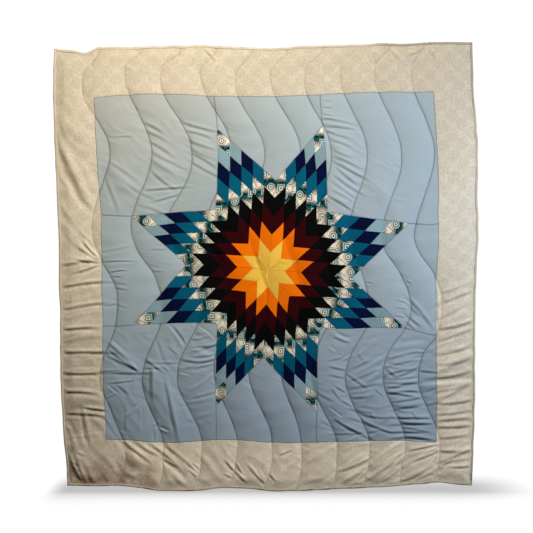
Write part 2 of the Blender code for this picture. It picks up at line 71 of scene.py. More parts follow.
# Each quilting line is one wave of stitches that runs from the top edge to the bottom one.
WAVE_LENGTH = 0.648
WAVE_START = -0.290
WAVE_DRIFT = -0.020
QUILTING_LINES = (
    # line, place across the cut, swing to each side
    ("left_1", -0.735, 0.044),
    ("left_2", -0.564, 0.046),
    ("left_3", -0.400, 0.050),
    ("left_4", -0.238, 0.050),
    ("left_5", -0.076, 0.050),
    ("right_1", 0.088, 0.050),
    ("right_2", 0.252, 0.048),
    ("right_3", 0.412, 0.048),
    ("right_4", 0.574, 0.052),
    ("right_5", 0.730, 0.046),
)
LINE_STRAYS = {
    # line: places up the cut, each with how far the sewing strays there to the right of the even wave
    "left_1": (
        (-0.93, 0.029), (-0.70, -0.022), (-0.58, -0.017), (-0.30, 0.015), (-0.12, -0.001), (0.03, -0.022),
        (0.36, -0.016), (0.56, -0.003), (0.76, -0.022), (0.87, -0.012), (0.96, 0.040),
    ),
    "left_2": (
        (-0.95, 0.041), (-0.80, 0.002), (-0.62, -0.013), (-0.265, 0.050), (-0.05, 0.022), (0.09, -0.002),
        (0.88, 0.000), (0.965, 0.062),
    ),
    "left_3": (
        (-0.93, 0.042), (-0.80, 0.014), (-0.56, -0.006), (-0.27, 0.042), (0.00, 0.015), (0.25, 0.002),
        (0.37, 0.011), (0.55, -0.005), (0.77, -0.018), (0.87, -0.002), (0.95, 0.068),
    ),
    "left_4": (
        (-0.94, 0.045), (-0.83, 0.028), (-0.58, 0.016), (0.00, 0.004), (0.86, 0.003), (0.955, 0.064),
    ),
    "left_5": (
        (-0.88, 0.047), (-0.80, 0.040), (-0.68, 0.051), (-0.45, 0.039), (0.00, 0.020), (0.76, -0.020),
        (0.85, 0.000), (0.96, 0.064),
    ),
    "right_1": (
        (-0.90, 0.032), (-0.81, 0.025), (-0.56, 0.048), (0.00, 0.020), (0.86, -0.003), (0.96, 0.056),
    ),
    "right_2": (
        (-0.90, 0.033), (-0.83, 0.023), (-0.74, 0.028), (-0.60, 0.017), (0.00, 0.005), (0.76, -0.011),
        (0.87, -0.001), (0.96, 0.056),
    ),
    "right_3": (
        (-0.93, 0.014), (-0.82, 0.003), (-0.55, -0.004), (-0.275, 0.015), (-0.07, -0.019), (0.03, -0.011),
        (0.60, 0.000), (0.88, 0.000), (0.96, 0.045),
    ),
    "right_4": (
        (-0.97, 0.018), (-0.86, -0.012), (-0.75, -0.011), (-0.38, 0.000), (-0.26, 0.017), (0.03, 0.008),
        (0.15, -0.022), (0.77, -0.006), (0.88, -0.003), (0.965, 0.031),
    ),
    "right_5": (
        (-0.96, 0.020), (-0.85, -0.003), (-0.78, -0.014), (-0.60, -0.017), (-0.36, -0.010), (-0.26, 0.011),
        (0.00, 0.010), (0.21, -0.034), (0.77, -0.005), (0.88, -0.001), (0.96, 0.022),
    ),
}

# How the quilt hangs: the flat cut is stretched a little by its weight, and each join is pulled further.
HUNG_CENTRE = (0.007, -0.987)
HUNG_STRETCH = 1.015
CENTRE_PULL = (0.006, -0.010)
POINT_PULLS = (
    # star point, its tip pulled right, up, the inner corner before it pulled right, up
    ("right_upper", 0.017, -0.057, 0.016, -0.044),
    ("top_right", -0.007, 0.014, 0.015, -0.008),
    ("top_left", 0.028, 0.000, 0.035, 0.026),
    ("left_upper", 0.001, -0.025, 0.020, 0.002),
    ("left_lower", 0.010, 0.000, -0.003, 0.015),
    ("bottom_left", 0.022, 0.003, 0.026, 0.007),
    ("bottom_right", -0.033, -0.021, -0.019, -0.035),
    ("right_lower", 0.004, -0.015, -0.023, -0.017),
)
FIELD_PULLS = (
    # join on the field's edge, across, up, pulled right, up
    ("top_left_corner", -HALF_FIELD, HALF_FIELD, -0.019, -0.010),
    ("top_left_far_pull", -0.660, HALF_FIELD, -0.0125, 0.0015),
    ("top_left_pull", -0.500, HALF_FIELD, -0.002, 0.0085),
    ("top_left_near_pull", -0.340, HALF_FIELD, 0.0085, 0.004),
    ("top_left_seam", -TIP_OFFSET, HALF_FIELD, 0.012, -0.001),
    ("top_middle", 0.040, HALF_FIELD, -0.0015, -0.002),
    ("top_right_seam", TIP_OFFSET, HALF_FIELD, -0.019, 0.004),
    ("top_right_pull", 0.500, HALF_FIELD, -0.018, 0.0165),
    ("top_right_corner", HALF_FIELD, HALF_FIELD, -0.016, 0.018),
    ("right_upper_seam", HALF_FIELD, TIP_OFFSET, 0.006, -0.059),
    ("right_middle", HALF_FIELD, -0.030, -0.004, -0.034),
    ("right_lower_seam", HALF_FIELD, -TIP_OFFSET, -0.004, -0.045),
    ("bottom_right_corner", HALF_FIELD, -HALF_FIELD, -0.004, -0.011),
    ("bottom_right_pull", 0.640, -HALF_FIELD, -0.009, -0.005),
    ("bottom_right_seam", TIP_OFFSET, -HALF_FIELD, -0.036, -0.011),
    ("bottom_left_seam", -TIP_OFFSET, -HALF_FIELD, 0.022, 0.000),
    ("bottom_left_pull", -0.460, -HALF_FIELD, 0.0315, -0.013),
    ("bottom_left_corner", -HALF_FIELD, -HALF_FIELD, 0.036, 0.003),
    ("left_lower_seam", -HALF_FIELD, -TIP_OFFSET, 0.022, -0.005),
    ("left_middle", -HALF_FIELD, 0.000, 0.0165, -0.008),
    ("left_upper_seam", -HALF_FIELD, TIP_OFFSET, 0.013, -0.021),
)
EDGE_PULLS = {
    # share of the way along the edge, from the left or the top, pulled right, up
    "top": (
        (0.00, -0.025, -0.008),
        (0.05, -0.024, -0.018),
        (0.075, -0.024, -0.024),
        (0.10, -0.024, -0.005),
        (0.165, -0.0235, -0.0015),
        (0.26, -0.022, 0.004),
        (0.36, -0.020, 0.007),
        (0.54, -0.018, -0.004),
        (0.60, -0.017, 0.005),
        (0.72, -0.0175, 0.010),
        (0.80, -0.015, 0.016),
        (0.84, -0.015, 0.013),
        (0.89, -0.014, 0.021),
        (1.00, -0.013, 0.022),
    ),
    "bottom": (
        (0.00, 0.033, 0.012),
        (0.06, 0.030, 0.011),
        (0.155, 0.026, 0.010),
        (0.22, 0.023, -0.007),
        (0.32, 0.018, -0.008),
        (0.40, 0.014, 0.004),
        (0.505, 0.009, -0.010),
        (0.65, 0.002, -0.004),
        (0.80, -0.005, 0.010),
        (0.92, -0.010, 0.027),
        (1.00, -0.014, 0.015),
    ),
    "left": (
        (0.05, -0.029, -0.007),
        (0.12, -0.029, -0.006),
        (0.27, -0.018, -0.003),
        (0.36, -0.011, -0.001),
        (0.54, -0.003, 0.003),
        (0.71, 0.002, 0.006),
        (0.87, 0.015, 0.010),
        (0.94, 0.027, 0.011),
    ),
    "right": (
        (0.06, -0.010, 0.022),
        (0.13, -0.004, 0.021),
        (0.20, 0.009, 0.021),
        (0.36, 0.013, 0.020),
        (0.44, 0.015, 0.019),
        (0.53, 0.006, 0.018),
        (0.74, 0.000, 0.017),
        (0.92, -0.008, 0.016),
    ),
}
SEWN_UNEVENNESS = 0.0014

# The main folds of the whole thickness: ridges towards the viewer, or troughs where the rise is negative.
MAIN_FOLDS = (
    # fold, across, up, direction in degrees, half length, half width, rise
    ("top_left_swag", -0.815, -0.052, 0, 0.080, 0.035, -0.005),
    ("left_border_upper_crease", -0.864, -0.372, -38, 0.080, 0.030, 0.005),
    ("left_border_middle_crease", -0.832, -0.963, 14, 0.095, 0.030, 0.005),
    ("left_border_lower_crease", -0.826, -1.285, 0, 0.080, 0.028, 0.004),
    ("left_border_low_ridge", -0.824, -1.578, 8, 0.095, 0.032, 0.006),
    ("bottom_left_corner_pull", -0.846, -1.848, -67, 0.100, 0.032, 0.006),
    ("upper_left_outer_pull", -0.652, -0.588, -49, 0.110, 0.032, 0.005),
    ("upper_left_middle_pull", -0.464, -0.529, -43, 0.090, 0.032, 0.005),
    ("upper_left_inner_pull", -0.284, -0.439, -35, 0.090, 0.032, 0.005),
    ("upper_right_inner_pull", 0.351, -0.480, -50, 0.080, 0.030, 0.005),
    ("upper_right_star_pull", 0.333, -0.673, -42, 0.070, 0.030, 0.004),
    ("upper_right_middle_pull", 0.522, -0.651, -55, 0.120, 0.036, 0.005),
    ("right_border_upper_ripple", 0.850, -1.231, 36, 0.090, 0.032, 0.006),
    ("right_border_middle_ripple", 0.860, -1.402, 23, 0.090, 0.030, 0.006),
    ("right_border_lower_ripple", 0.855, -1.500, 2, 0.085, 0.028, -0.004),
    ("lower_right_star_fold", 0.472, -1.470, 57, 0.120, 0.034, 0.005),
    ("lower_right_middle_fold", 0.612, -1.411, 33, 0.080, 0.030, 0.004),
    ("lower_right_low_fold", 0.675, -1.677, 0, 0.090, 0.030, 0.004),
    ("bottom_right_pull", 0.522, -1.870, 33, 0.085, 0.032, 0.006),
    ("lower_left_cross_fold", -0.630, -1.393, -45, 0.090, 0.030, 0.005),
    ("lower_left_ridge", -0.495, -1.519, -84, 0.130, 0.034, 0.006),
    ("lower_left_inner_ridge", -0.423, -1.623, -75, 0.120, 0.032, 0.005),
    ("bottom_left_pull", -0.562, -1.866, -37, 0.090, 0.034, 0.006),
    ("bottom_middle_wave", 0.020, -1.940, 88, 0.110, 0.070, 0.007),
)
BILLOW = 0.006
BILLOW_ACROSS = 1.15
BILLOW_UP = 1.70

# Sharp little creases of the top cloth alone. A fan starts from points spread evenly along a quilting
# line or a seam, and each of its creases runs off in its own direction.
CREASE_FANS = (
    # place, first start across, up, last start across, up, creases, first direction, last direction,
    # length, half width, rise
    ("upper_left_off_second_line", -0.549, -0.331, -0.513, -0.540, 6, -28, -36, 0.120, 0.0075, 0.0026),
    ("upper_left_off_third_line", -0.369, -0.331, -0.338, -0.505, 6, -18, -34, 0.120, 0.0070, 0.0026),
    ("upper_left_low", -0.700, -0.505, -0.560, -0.700, 3, -40, -30, 0.150, 0.0080, 0.0022),
    ("upper_right_fan_high", 0.261, -0.309, 0.322, -0.515, 7, -8, -26, 0.115, 0.0065, 0.0028),
    ("upper_right_fan_low", 0.322, -0.540, 0.284, -0.665, 5, -37, -28, 0.115, 0.0065, 0.0028),
    ("upper_right_seam_puckers", 0.252, -0.235, 0.268, -0.400, 7, -4, -12, 0.040, 0.0050, 0.0018),
    ("lower_right_rungs", 0.545, -1.390, 0.562, -1.750, 12, 18, -6, 0.140, 0.0065, 0.0030),
    ("lower_right_inner_rungs", 0.385, -1.400, 0.372, -1.700, 8, 38, -25, 0.120, 0.0070, 0.0024),
    ("right_border_rungs", 0.770, -1.100, 0.775, -1.860, 15, 24, 4, 0.150, 0.0085, 0.0026),
    ("left_border_rungs", -0.930, -0.980, -0.900, -1.640, 8, 8, -2, 0.170, 0.0080, 0.0026),
    ("left_border_burst", -0.760, -0.935, -0.752, -0.985, 5, 130, 215, 0.080, 0.0060, 0.0024),
    ("lower_left_outer_rungs", -0.700, -1.320, -0.715, -1.450, 3, -44, 0, 0.150, 0.0070, 0.0026),
    ("lower_left_seam_rungs", -0.330, -1.310, -0.326, -1.440, 6, 8, 16, 0.095, 0.0065, 0.0024),
    ("bottom_left_corner_creases", -0.880, -1.830, -0.812, -1.860, 3, -58, -66, 0.110, 0.0080, 0.0030),
    ("bottom_border_left_pulls", -0.640, -1.762, -0.450, -1.780, 4, -36, -38, 0.120, 0.0080, 0.0026),
    ("bottom_border_right_pulls", 0.280, -1.950, 0.640, -1.950, 6, 38, 30, 0.150, 0.0085, 0.0026),
    ("first_tack_pulls", -0.278, 0.002, -0.278, 0.002, 2, -52, -128, 0.060, 0.0060, 0.0018),
    ("second_tack_pulls", 0.551, 0.008, 0.551, 0.008, 2, -50, -132, 0.080, 0.0060, 0.0020),
    ("third_tack_pulls", 0.722, 0.010, 0.722, 0.010, 2, -55, -150, 0.070, 0.0060, 0.0020),
    ("fourth_tack_pulls", 0.892, 0.010, 0.892, 0.010, 2, -110, -150, 0.070, 0.0060, 0.0018),
)
LONE_CREASES = (
    # first end across, up, last end across, up, bow, half width, rise, all in millimetres
    # the yellow centre
    (-37, -930, -8, -1012, 0, 5, 3.6), (-52, -958, -28, -1000, 0, 5, -2.6),
    (-16, -958, 6, -1008, 0, 4.5, 2.2), (-10, -1012, 10, -1064, 0, 5, 3.0),
    (10, -988, 42, -976, 0, 4.5, 1.6), (62, -958, 96, -966, 0, 4.5, 2.0),
    # the upper left square and the borders
    (-535, -633, -355, -620, 0, 6, 3.9), (-680, -394, -605, -394, 0, 5, 2.3),
    (-504, -686, -391, -653, 0, 6, 3.4), (-711, -592, -661, -723, 0, 8, 2.9),
    (-936, -412, -800, -679, 0, 18, 5.2), (-820, -1625, -789, -1782, 0, 7, 4.4),
    (-812, -1611, -725, -1623, 0, 6, 3.9), (-508, -1434, -508, -1574, 0, 8, 3.6),
    (-445, -1501, -393, -1746, 0, 9, 3.9), (-535, -1398, -468, -1447, 0, 6.5, 3.6),
    (-623, -1651, -578, -1611, 0, 6, 3.1), (450, -1587, 566, -1433, 0, 8.5, 4.7),
    (702, -1501, 922, -1482, 0, 11, -6), (788, -1447, 923, -1366, 0, 12, 5.7),
    (774, -1573, 922, -1501, 0, 11, 4.7), (778, -1668, 922, -1655, 0, 9, 3.9),
    # the bottom border
    (-880, -1857, -860, -1942, 0, 5, -3), (-864, -1866, -839, -1884, 0, 4.5, -2.5),
    (-866, -1902, -835, -1947, 0, 5, -3), (-842, -1812, -819, -1830, 0, 5.4, 2.5),
    (-457, -1843, -410, -1875, 0, 6.8, 4), (-454, -1852, -364, -1933, 0, 13.5, -3.5),
    (-346, -1866, -315, -1897, 0, 5.4, 2.8), (-328, -1861, -297, -1888, 0, 5.4, 2.4),
    (-342, -1893, -310, -1924, 0, 5.4, 2.6), (-178, -1852, -144, -1895, 0, 5.9, 3.4),
    (-133, -1863, -108, -1906, 0, 5.4, 3.2), (-137, -1897, -94, -1942, 0, 5.9, 3.2),
    (-184, -1911, -153, -1929, 0, 5, 2.4), (-81, -1868, -9, -1947, 0, 6.8, 3.2),
    (-36, -1893, -9, -1933, 0, 5, 2.4), (63, -1825, 108, -1803, 0, 5.4, 2.6),
    (90, -1884, 112, -1863, 0, 5, 2.2), (18, -1911, 45, -1942, 0, 5, 2.2),
    (333, -1895, 464, -1839, -4.5, 7.2, 3.8), (472, -1870, 612, -1767, -6.8, 7.6, 4),
    (524, -1870, 612, -1812, 0, 6.3, 3.4), (562, -1888, 621, -1830, 0, 5.9, 3),
    (396, -1960, 454, -1897, 0, 6.8, 3.4), (522, -1947, 594, -1897, 0, 6.3, 3.2),
    (648, -1857, 770, -1807, 0, 6.8, 3.4), (648, -1803, 770, -1776, 0, 6.3, 3),
    (711, -1821, 756, -1798, 0, 5, 2.4), (788, -1852, 918, -1798, 0, 7.2, 3.6),
    (796, -1870, 842, -1843, 0, 5.4, 2.6), (828, -1879, 918, -1875, 0, 6.3, 2.8),
    (828, -1821, 918, -1807, 0, 14.4, 2.4),
    # the lower left square
    (-701, -1351, -563, -1451, -4.5, 5.9, 3.6), (-688, -1314, -621, -1372, 0, 8.1, -2.6),
    (-594, -1411, -567, -1452, 0, 4.5, -2.8), (-724, -1447, -657, -1444, 0, 4, 2.6),
    (-701, -1503, -601, -1491, 0, 5, 3), (-601, -1491, -575, -1458, 0, 5, 3),
    (-707, -1516, -666, -1551, 0, 4.5, -2.6), (-666, -1510, -621, -1548, 0, 5, 2.8),
    (-724, -1575, -680, -1551, 0, 4.5, 2.2), (-556, -1616, -556, -1726, 0, 4.5, -1.6),
    (-628, -1616, -628, -1726, 0, 5.4, 1.5), (-618, -1647, -577, -1606, 0, 4.5, 1.8),
    (-716, -1668, -670, -1740, 0, 5.4, 1.6), (-508, -1695, -482, -1681, 0, 4.5, 2.6),
    (-477, -1703, -439, -1716, 0, 5.4, -4), (-498, -1716, -494, -1761, 0, 4.5, 2.4),
    (-425, -1251, -369, -1335, 4.5, 6.3, -3.2), (-412, -1251, -360, -1326, 4.5, 5.4, 2.8),
    (-439, -1338, -401, -1372, 0, 5, 2), (-484, -1307, -456, -1396, 0, 5.9, 1.8),
    (-470, -1424, -439, -1447, 0, 4.5, 3.2), (-546, -1437, -470, -1437, 3.6, 4.5, 2.2),
    (-522, -1407, -394, -1410, -3.6, 5.4, 2), (-380, -1395, -230, -1391, -11.2, 7.6, 4.2),
    (-380, -1438, -230, -1413, 0, 7.2, 2.4), (-387, -1458, -349, -1465, 0, 4, -2.4),
    (-325, -1527, -230, -1452, 4.5, 6.8, 3.8), (-328, -1569, -230, -1541, 0, 5.9, 2.8),
    (-308, -1248, -225, -1312, 6.8, 3.6, -2.6), (-322, -1335, -230, -1372, 0, 11.7, -3),
    (-315, -1276, -270, -1281, 0, 9.9, 2), (-374, -1596, -243, -1573, 0, 8.1, 1.5),
    (-364, -1672, -238, -1636, 0, 9, 1.5),
    # the lower right square
    (409, -1465, 540, -1382, -4.5, 9, 4.4), (453, -1503, 527, -1431, 0, 8.1, 4.2),
    (371, -1465, 453, -1524, 0, 5.9, 2.8), (490, -1530, 529, -1564, 0, 4, 2.2),
    (412, -1634, 560, -1658, -6.8, 6.8, 3.4), (426, -1665, 574, -1726, -4.5, 6.3, 3.4),
    (467, -1637, 495, -1672, 0, 4, 2), (515, -1710, 570, -1651, 0, 9.9, -2.8),
    (457, -1726, 515, -1710, 0, 6.3, 2.6), (426, -1420, 460, -1382, 0, 4.5, 2.2),
    (457, -1328, 490, -1307, 0, 7.2, 2.2), (414, -1366, 441, -1407, 0, 6.3, 1.6),
    (309, -1272, 371, -1303, -3.6, 6.8, -3.4), (309, -1296, 371, -1320, 0, 6.3, 2.8),
    (288, -1338, 315, -1362, 0, 4.5, -2.6), (342, -1393, 387, -1368, 0, 5.4, -2.8),
    (288, -1400, 357, -1382, 0, 5.4, 2.4), (288, -1427, 357, -1444, 0, 5.9, 2.4),
    (288, -1465, 353, -1479, 0, 5.4, 2.4), (309, -1513, 357, -1544, 0, 5, 2.6),
    (298, -1530, 333, -1575, 0, 5, 2.6), (340, -1579, 395, -1613, 0, 5.4, 2.6),
    (288, -1616, 340, -1654, 0, 4.5, -2.6), (315, -1665, 440, -1726, -6.8, 6.8, 3.6),
    (288, -1733, 440, -1726, 0, 5.4, 2.4), (357, -1758, 440, -1726, 0, 5.4, -2.6),
    (234, -1546, 302, -1582, 0, 7.2, 2), (252, -1672, 315, -1708, 0, 6.8, 1.8),
    (543, -1420, 612, -1427, 0, 5, -2.6), (540, -1438, 585, -1472, 0, 5.9, 3.2),
    (585, -1472, 682, -1427, -3.6, 7.2, 4.4), (540, -1499, 680, -1499, 0, 7.2, 3.8),
    (543, -1519, 603, -1519, 0, 5.4, 2.6), (546, -1541, 667, -1562, 0, 5.9, 4.2),
    (562, -1603, 698, -1593, -4.5, 8.5, 4.2), (574, -1623, 632, -1630, 0, 5.4, 2.6),
    (657, -1634, 680, -1661, 0, 5, 2.4), (680, -1661, 736, -1658, 0, 5.4, 3),
    (605, -1675, 753, -1682, -3.6, 5.9, 4.2), (615, -1699, 732, -1720, 0, 5.9, 3),
    (626, -1735, 747, -1758, 0, 6.8, 1.8), (694, -1447, 763, -1452, 0, 6.3, 3.2),
    (684, -1355, 716, -1355, 0, 5, -2.6), (666, -1393, 705, -1389, 0, 5, -2.2),
    (584, -1324, 701, -1307, 0, 11.7, -2.6), (711, -1537, 765, -1524, 0, 6.8, 2),
    (729, -1600, 765, -1587, 0, 5.9, 2.2),
    # the two side triangles
    (636, -1114, 746, -1246, 4.5, 8.5, 3.8), (632, -1139, 701, -1208, 0, 6.8, 2.8),
    (632, -1194, 694, -1246, 0, 6.3, 3.2), (632, -1228, 667, -1259, 0, 5.4, 2.6),
    (591, -1129, 632, -1139, 0, 5.4, 1.8), (580, -1197, 626, -1208, 0, 5, 2),
    (585, -1161, 628, -1168, 0, 5, 1.6), (632, -1042, 652, -1053, 0, 4, 2),
    (453, -1046, 481, -1053, 0, 4, 2), (-732, -958, -604, -954, 2.7, 4.5, 2.6),
    (-698, -1004, -632, -995, 1.8, 4, 3.6), (-687, -1025, -652, -1023, 0, 4, 2.2),
    (-676, -1053, -632, -1056, 0, 4.5, 1.6), (-673, -1075, -626, -1082, 0, 4.5, 1.8),
    (-670, -1149, -628, -1163, 0, 4.5, 1.8), (-732, -1156, -673, -1146, 0, 4.5, 1.6),
    (-732, -1042, -698, -1024, 0, 4.5, 1.4), (-732, -912, -618, -887, 0, 6.3, 1.5),
    (-508, -997, -459, -1001, 0, 4.5, 1.5), (-518, -901, -446, -901, 0, 5, 1.5),
    (772, -1078, 777, -1245, 0, 6.3, 1.8),
)
FAN_STRENGTH = 1.45
LONE_STRENGTH = 1.05
CREASE_WIDENING = 1.05
CREASE_LIMIT = 0.0085
TROUGH_SHARE = 0.80
TROUGH_STEP = 1.6
LIT_SIDE = (0.78, 0.46)
CREASE_SPAN = 0.52

# Patches of fine uneven ripples, where the cloth was eased in.
RIPPLE_PATCHES = (
    # patch, across, up, reach across, reach up, direction in degrees, spacing, rise
    ("upper_left_square", -0.560, -0.480, 0.200, 0.240, -36, 0.044, 0.0016),
    ("upper_right_square", 0.420, -0.560, 0.200, 0.220, -34, 0.036, 0.0014),
    ("left_border", -0.850, -0.700, 0.100, 0.420, -50, 0.060, 0.0020),
    ("left_border_low", -0.840, -1.450, 0.110, 0.360, 6, 0.048, 0.0020),
    ("bottom_left_corner", -0.780, -1.820, 0.180, 0.160, -58, 0.050, 0.0026),
    ("lower_left_square", -0.520, -1.520, 0.260, 0.260, -50, 0.050, 0.0018),
    ("bottom_border_left", -0.350, -1.880, 0.400, 0.100, -40, 0.055, 0.0024),
    ("bottom_border_right", 0.450, -1.880, 0.450, 0.100, 36, 0.050, 0.0026),
    ("lower_right_square", 0.520, -1.560, 0.260, 0.260, 10, 0.040, 0.0020),
    ("right_border", 0.850, -1.500, 0.110, 0.420, 24, 0.045, 0.0026),
    ("right_border_high", 0.850, -0.900, 0.100, 0.300, 30, 0.070, 0.0014),
    ("star_rim", 0.000, -0.990, 0.640, 0.640, -8, 0.030, 0.0007),
)

# The loft: how thick the layers are at the stitches, and how far the filling swells between two lines.
STITCHED_HALF = 0.0020
FRONT_LOFT = 0.0080
BACK_LOFT = 0.0040
CROWN_POWER = 2.3
GROOVE_DEPTH = 0.0010
GROOVE_REACH = 0.0032
EDGE_LOFT_SHARE = 0.12
EDGE_SOFTENING = 0.045
EDGE_TUCK = 0.0006
GATHER_RISE = 0.0011
GATHER_SPACING = 0.024
GATHER_REACH = 0.034
CLOTH_RISE = 0.0009
CLOTH_SPACING = 0.090
SEAM_SINK = 0.0008
STAR_SEAM_SINK = 0.0003
STAR_GROOVE = 0.0003
SEAM_REACH = 0.0016
CLOTH_THICKNESS = 0.0008
PINNED_REACH = 0.012
PINNED_CREASE_SHARE = 0.35
EDGE_CREASE_REACH = 0.020
TUCK_REACH = 0.004
STITCH_PINCH = 0.004
THINNEST_FACE = 0.0009


def polar(radius, degrees):
    angle = math.radians(degrees)
    return (radius * math.cos(angle), radius * math.sin(angle))


def turned(degrees, points):
    angle = math.radians(degrees)
    cosine, sine = math.cos(angle), math.sin(angle)
    return [(x * cosine - y * sine, x * sine + y * cosine) for x, y in points]


def eased(value):
    share = np.clip(value, 0.0, 1.0)
    return share * share * (3.0 - 2.0 * share)


def uneven(points, spacing, seed, waves=14):
    """Smooth seeded unevenness, mostly between -1 and 1: plane waves that run in all directions."""
    draw = np.random.default_rng(seed)
    angles = draw.uniform(0.0, 2.0 * math.pi, waves)
    phases = draw.uniform(0.0, 2.0 * math.pi, waves)
    spacings = spacing * draw.uniform(0.7, 1.5, waves)
    runs = np.stack([np.cos(angles), np.sin(angles)]) * 2.0 * math.pi / spacings
    return np.sin(points @ runs + phases).sum(axis=1) / math.sqrt(2.0 * waves)


def quilting_places(up):
    """The quilting lines at each height of the flat cut, and a straight one just past each side edge."""
    wave = np.sin(2.0 * math.pi * (up - WAVE_START) / WAVE_LENGTH)
    past_edge = np.full(len(up), EDGE_RIGHT + BINDING_WIDTH)
    columns = [-past_edge]
    for line, place, swing in QUILTING_LINES:
        rows = LINE_STRAYS[line]
        stray = np.full(len(up), rows[0][1])
        for (low, first), (high, last) in zip(rows, rows[1:]):
            stray += (last - first) * eased((up - low) / (high - low))
        columns.append(place + swing * wave + WAVE_DRIFT * up + stray)
    return np.stack(columns + [past_edge], axis=1)


def channel_of(flat):
    """The channel number of each point, whole on a quilting line, and the width of its channel."""
    lines = quilting_places(flat[:, 1])
    row = np.arange(len(flat))
    left = np.clip((lines <= flat[:, :1]).sum(axis=1) - 1, 0, lines.shape[1] - 2)
    width = lines[row, left + 1] - lines[row, left]
    return left + (flat[:, 0] - lines[row, left]) / width, width


def hang_joins():
    """The joins of the flat cut and where each of them hangs."""
    flat = [(0.0, 0.0)]
    pull = [CENTRE_PULL]
    for index, (_, tip_right, tip_up, inner_right, inner_up) in enumerate(POINT_PULLS):
        flat += [polar(TIP_REACH, 45 * index + 22.5), polar(POINT_SIDE, 45 * index)]
        pull += [(tip_right, tip_up), (inner_right, inner_up)]
    for _, across, up, right, raised in FIELD_PULLS:
        flat.append((across, up))
        pull.append((right, raised))
    for side, rows in EDGE_PULLS.items():
        for share, right, raised in rows:
            along = 2.0 * share - 1.0
            place = {
                "top": (along * EDGE_RIGHT, EDGE_TOP),
                "bottom": (along * EDGE_RIGHT, -EDGE_TOP),
                "left": (-EDGE_RIGHT, -along * EDGE_TOP),
                "right": (EDGE_RIGHT, -along * EDGE_TOP),
            }[side]
            flat.append(place)
            pull.append((right, raised))
    flat = np.array(flat)
    return flat, flat * (1.0, HUNG_STRETCH) + HUNG_CENTRE + np.array(pull)


def plate_kernel(points, joins):
    squared = ((points[:, None, :] - joins[None, :, :]) ** 2).sum(axis=2)
    return 0.5 * squared * np.log(np.maximum(squared, 1e-12))


def plate_terms(points):
    return np.hstack([np.ones((len(points), 1)), points])


def fit_hang():
    """A thin bending plate drawn through every join, which carries the cloth between them smoothly."""
    flat, hung = hang_joins()
    count = len(flat)
    system = np.zeros((count + 3, count + 3))
    system[:count, :count] = plate_kernel(flat, flat)
    system[:count, count:] = plate_terms(flat)
    system[count:, :count] = plate_terms(flat).T
    weights = np.linalg.solve(system, np.vstack([hung, np.zeros((3, 2))]))
    return flat, weights[:count], weights[count:]


JOINS, BEND, CARRY = fit_hang()


def hang(flat):
    """Where each point of the flat cut hangs, with the small crookedness of sewn seams."""
    hung = plate_kernel(flat, JOINS) @ BEND + plate_terms(flat) @ CARRY
    crooked = np.stack([uneven(flat, 0.11, 3), uneven(flat, 0.13, 4)], axis=1)
    return hung + SEWN_UNEVENNESS * crooked


def across_and_along(hung, across, up, degrees):
    """Each point's distance along a fold's direction and to its upper side."""
    angle = math.radians(degrees)
    right = hung[:, 0] - across
    raised = hung[:, 1] - up
    along = right * math.cos(angle) + raised * math.sin(angle)
    aside = raised * math.cos(angle) - right * math.sin(angle)
    return along, aside


def middle_layer(hung):
    """How far the middle of the layers lies behind the XZ plane: a slow billow and the main folds."""
    depth = BILLOW * np.sin(2.0 * math.pi * hung[:, 0] / BILLOW_ACROSS)
    depth *= np.sin(math.pi * hung[:, 1] / BILLOW_UP)
    for _, place, up, degrees, half_length, half_width, rise in MAIN_FOLDS:
        along, aside = across_and_along(hung, place, up, degrees)
        depth -= rise * np.exp(-((along / half_length) ** 2) - (aside / half_width) ** 2)
    return depth


def crease(hung, first, last, bow, half_width, rise):
    """A ridge from end to end, bowed to its upper right, with a shallower trough along its other side."""
    run = np.subtract(last, first)
    length = math.hypot(*run)
    run = run / length
    over = np.array([-run[1], run[0]])
    over *= math.copysign(1.0, over @ LIT_SIDE)
    share = (hung - first) @ run / length
    aside = (hung - first) @ over - 4.0 * bow * share * (1.0 - share)
    reach = np.exp(-(((share - 0.5) / CREASE_SPAN) ** 4))
    ridge = np.exp(-((aside / half_width) ** 2))
    trough = np.exp(-((aside / half_width + TROUGH_STEP) ** 2))
    return rise * reach * (ridge - TROUGH_SHARE * trough)


def creases(hung):
    total = np.zeros(len(hung))
    for number, row in enumerate(CREASE_FANS):
        _, across, up, last_across, last_up, count, first, last, length, half_width, rise = row
        draw = np.random.default_rng(100 + number)
        for step in range(count):
            share = step / (count - 1)
            place = across + share * (last_across - across) + draw.uniform(-0.004, 0.004)
            raised = up + share * (last_up - up) + draw.uniform(-0.006, 0.006)
            degrees = first + share * (last - first) + draw.uniform(-6.0, 6.0)
            along = np.array(polar(length * draw.uniform(0.8, 1.4), degrees))
            bow = draw.uniform(-0.05, 0.05) * length
            strength = FAN_STRENGTH * rise * draw.uniform(0.6, 1.1)
            end = (place, raised) + along
            total += crease(hung, (place, raised), end, bow, CREASE_WIDENING * half_width, strength)
    for row in LONE_CREASES:
        across, up, last_across, last_up, bow, half_width, rise = [value / 1000.0 for value in row]
        wide = CREASE_WIDENING * half_width
        total += crease(hung, (across, up), (last_across, last_up), bow, wide, LONE_STRENGTH * rise)
    return total


def ripples(hung):
    total = np.zeros(len(hung))
    for number, (_, across, up, reach, reach_up, degrees, spacing, rise) in enumerate(RIPPLE_PATCHES):
        along, aside = across_and_along(hung, across, up, degrees)
        inside = np.exp(-(((hung[:, 0] - across) / reach) ** 4) - ((hung[:, 1] - up) / reach_up) ** 4)
        bent = aside + 0.45 * spacing * uneven(hung, 3.5 * spacing, 200 + number)
        ridge = (0.5 + 0.5 * np.cos(2.0 * math.pi * bent / spacing)) ** 1.6 - 0.35
        broken = np.stack([along / 3.2, aside], axis=1)
        strength = eased(0.5 + 0.9 * uneven(broken, 1.3 * spacing, 300 + number))
        total += rise * inside * strength * ridge
    return total


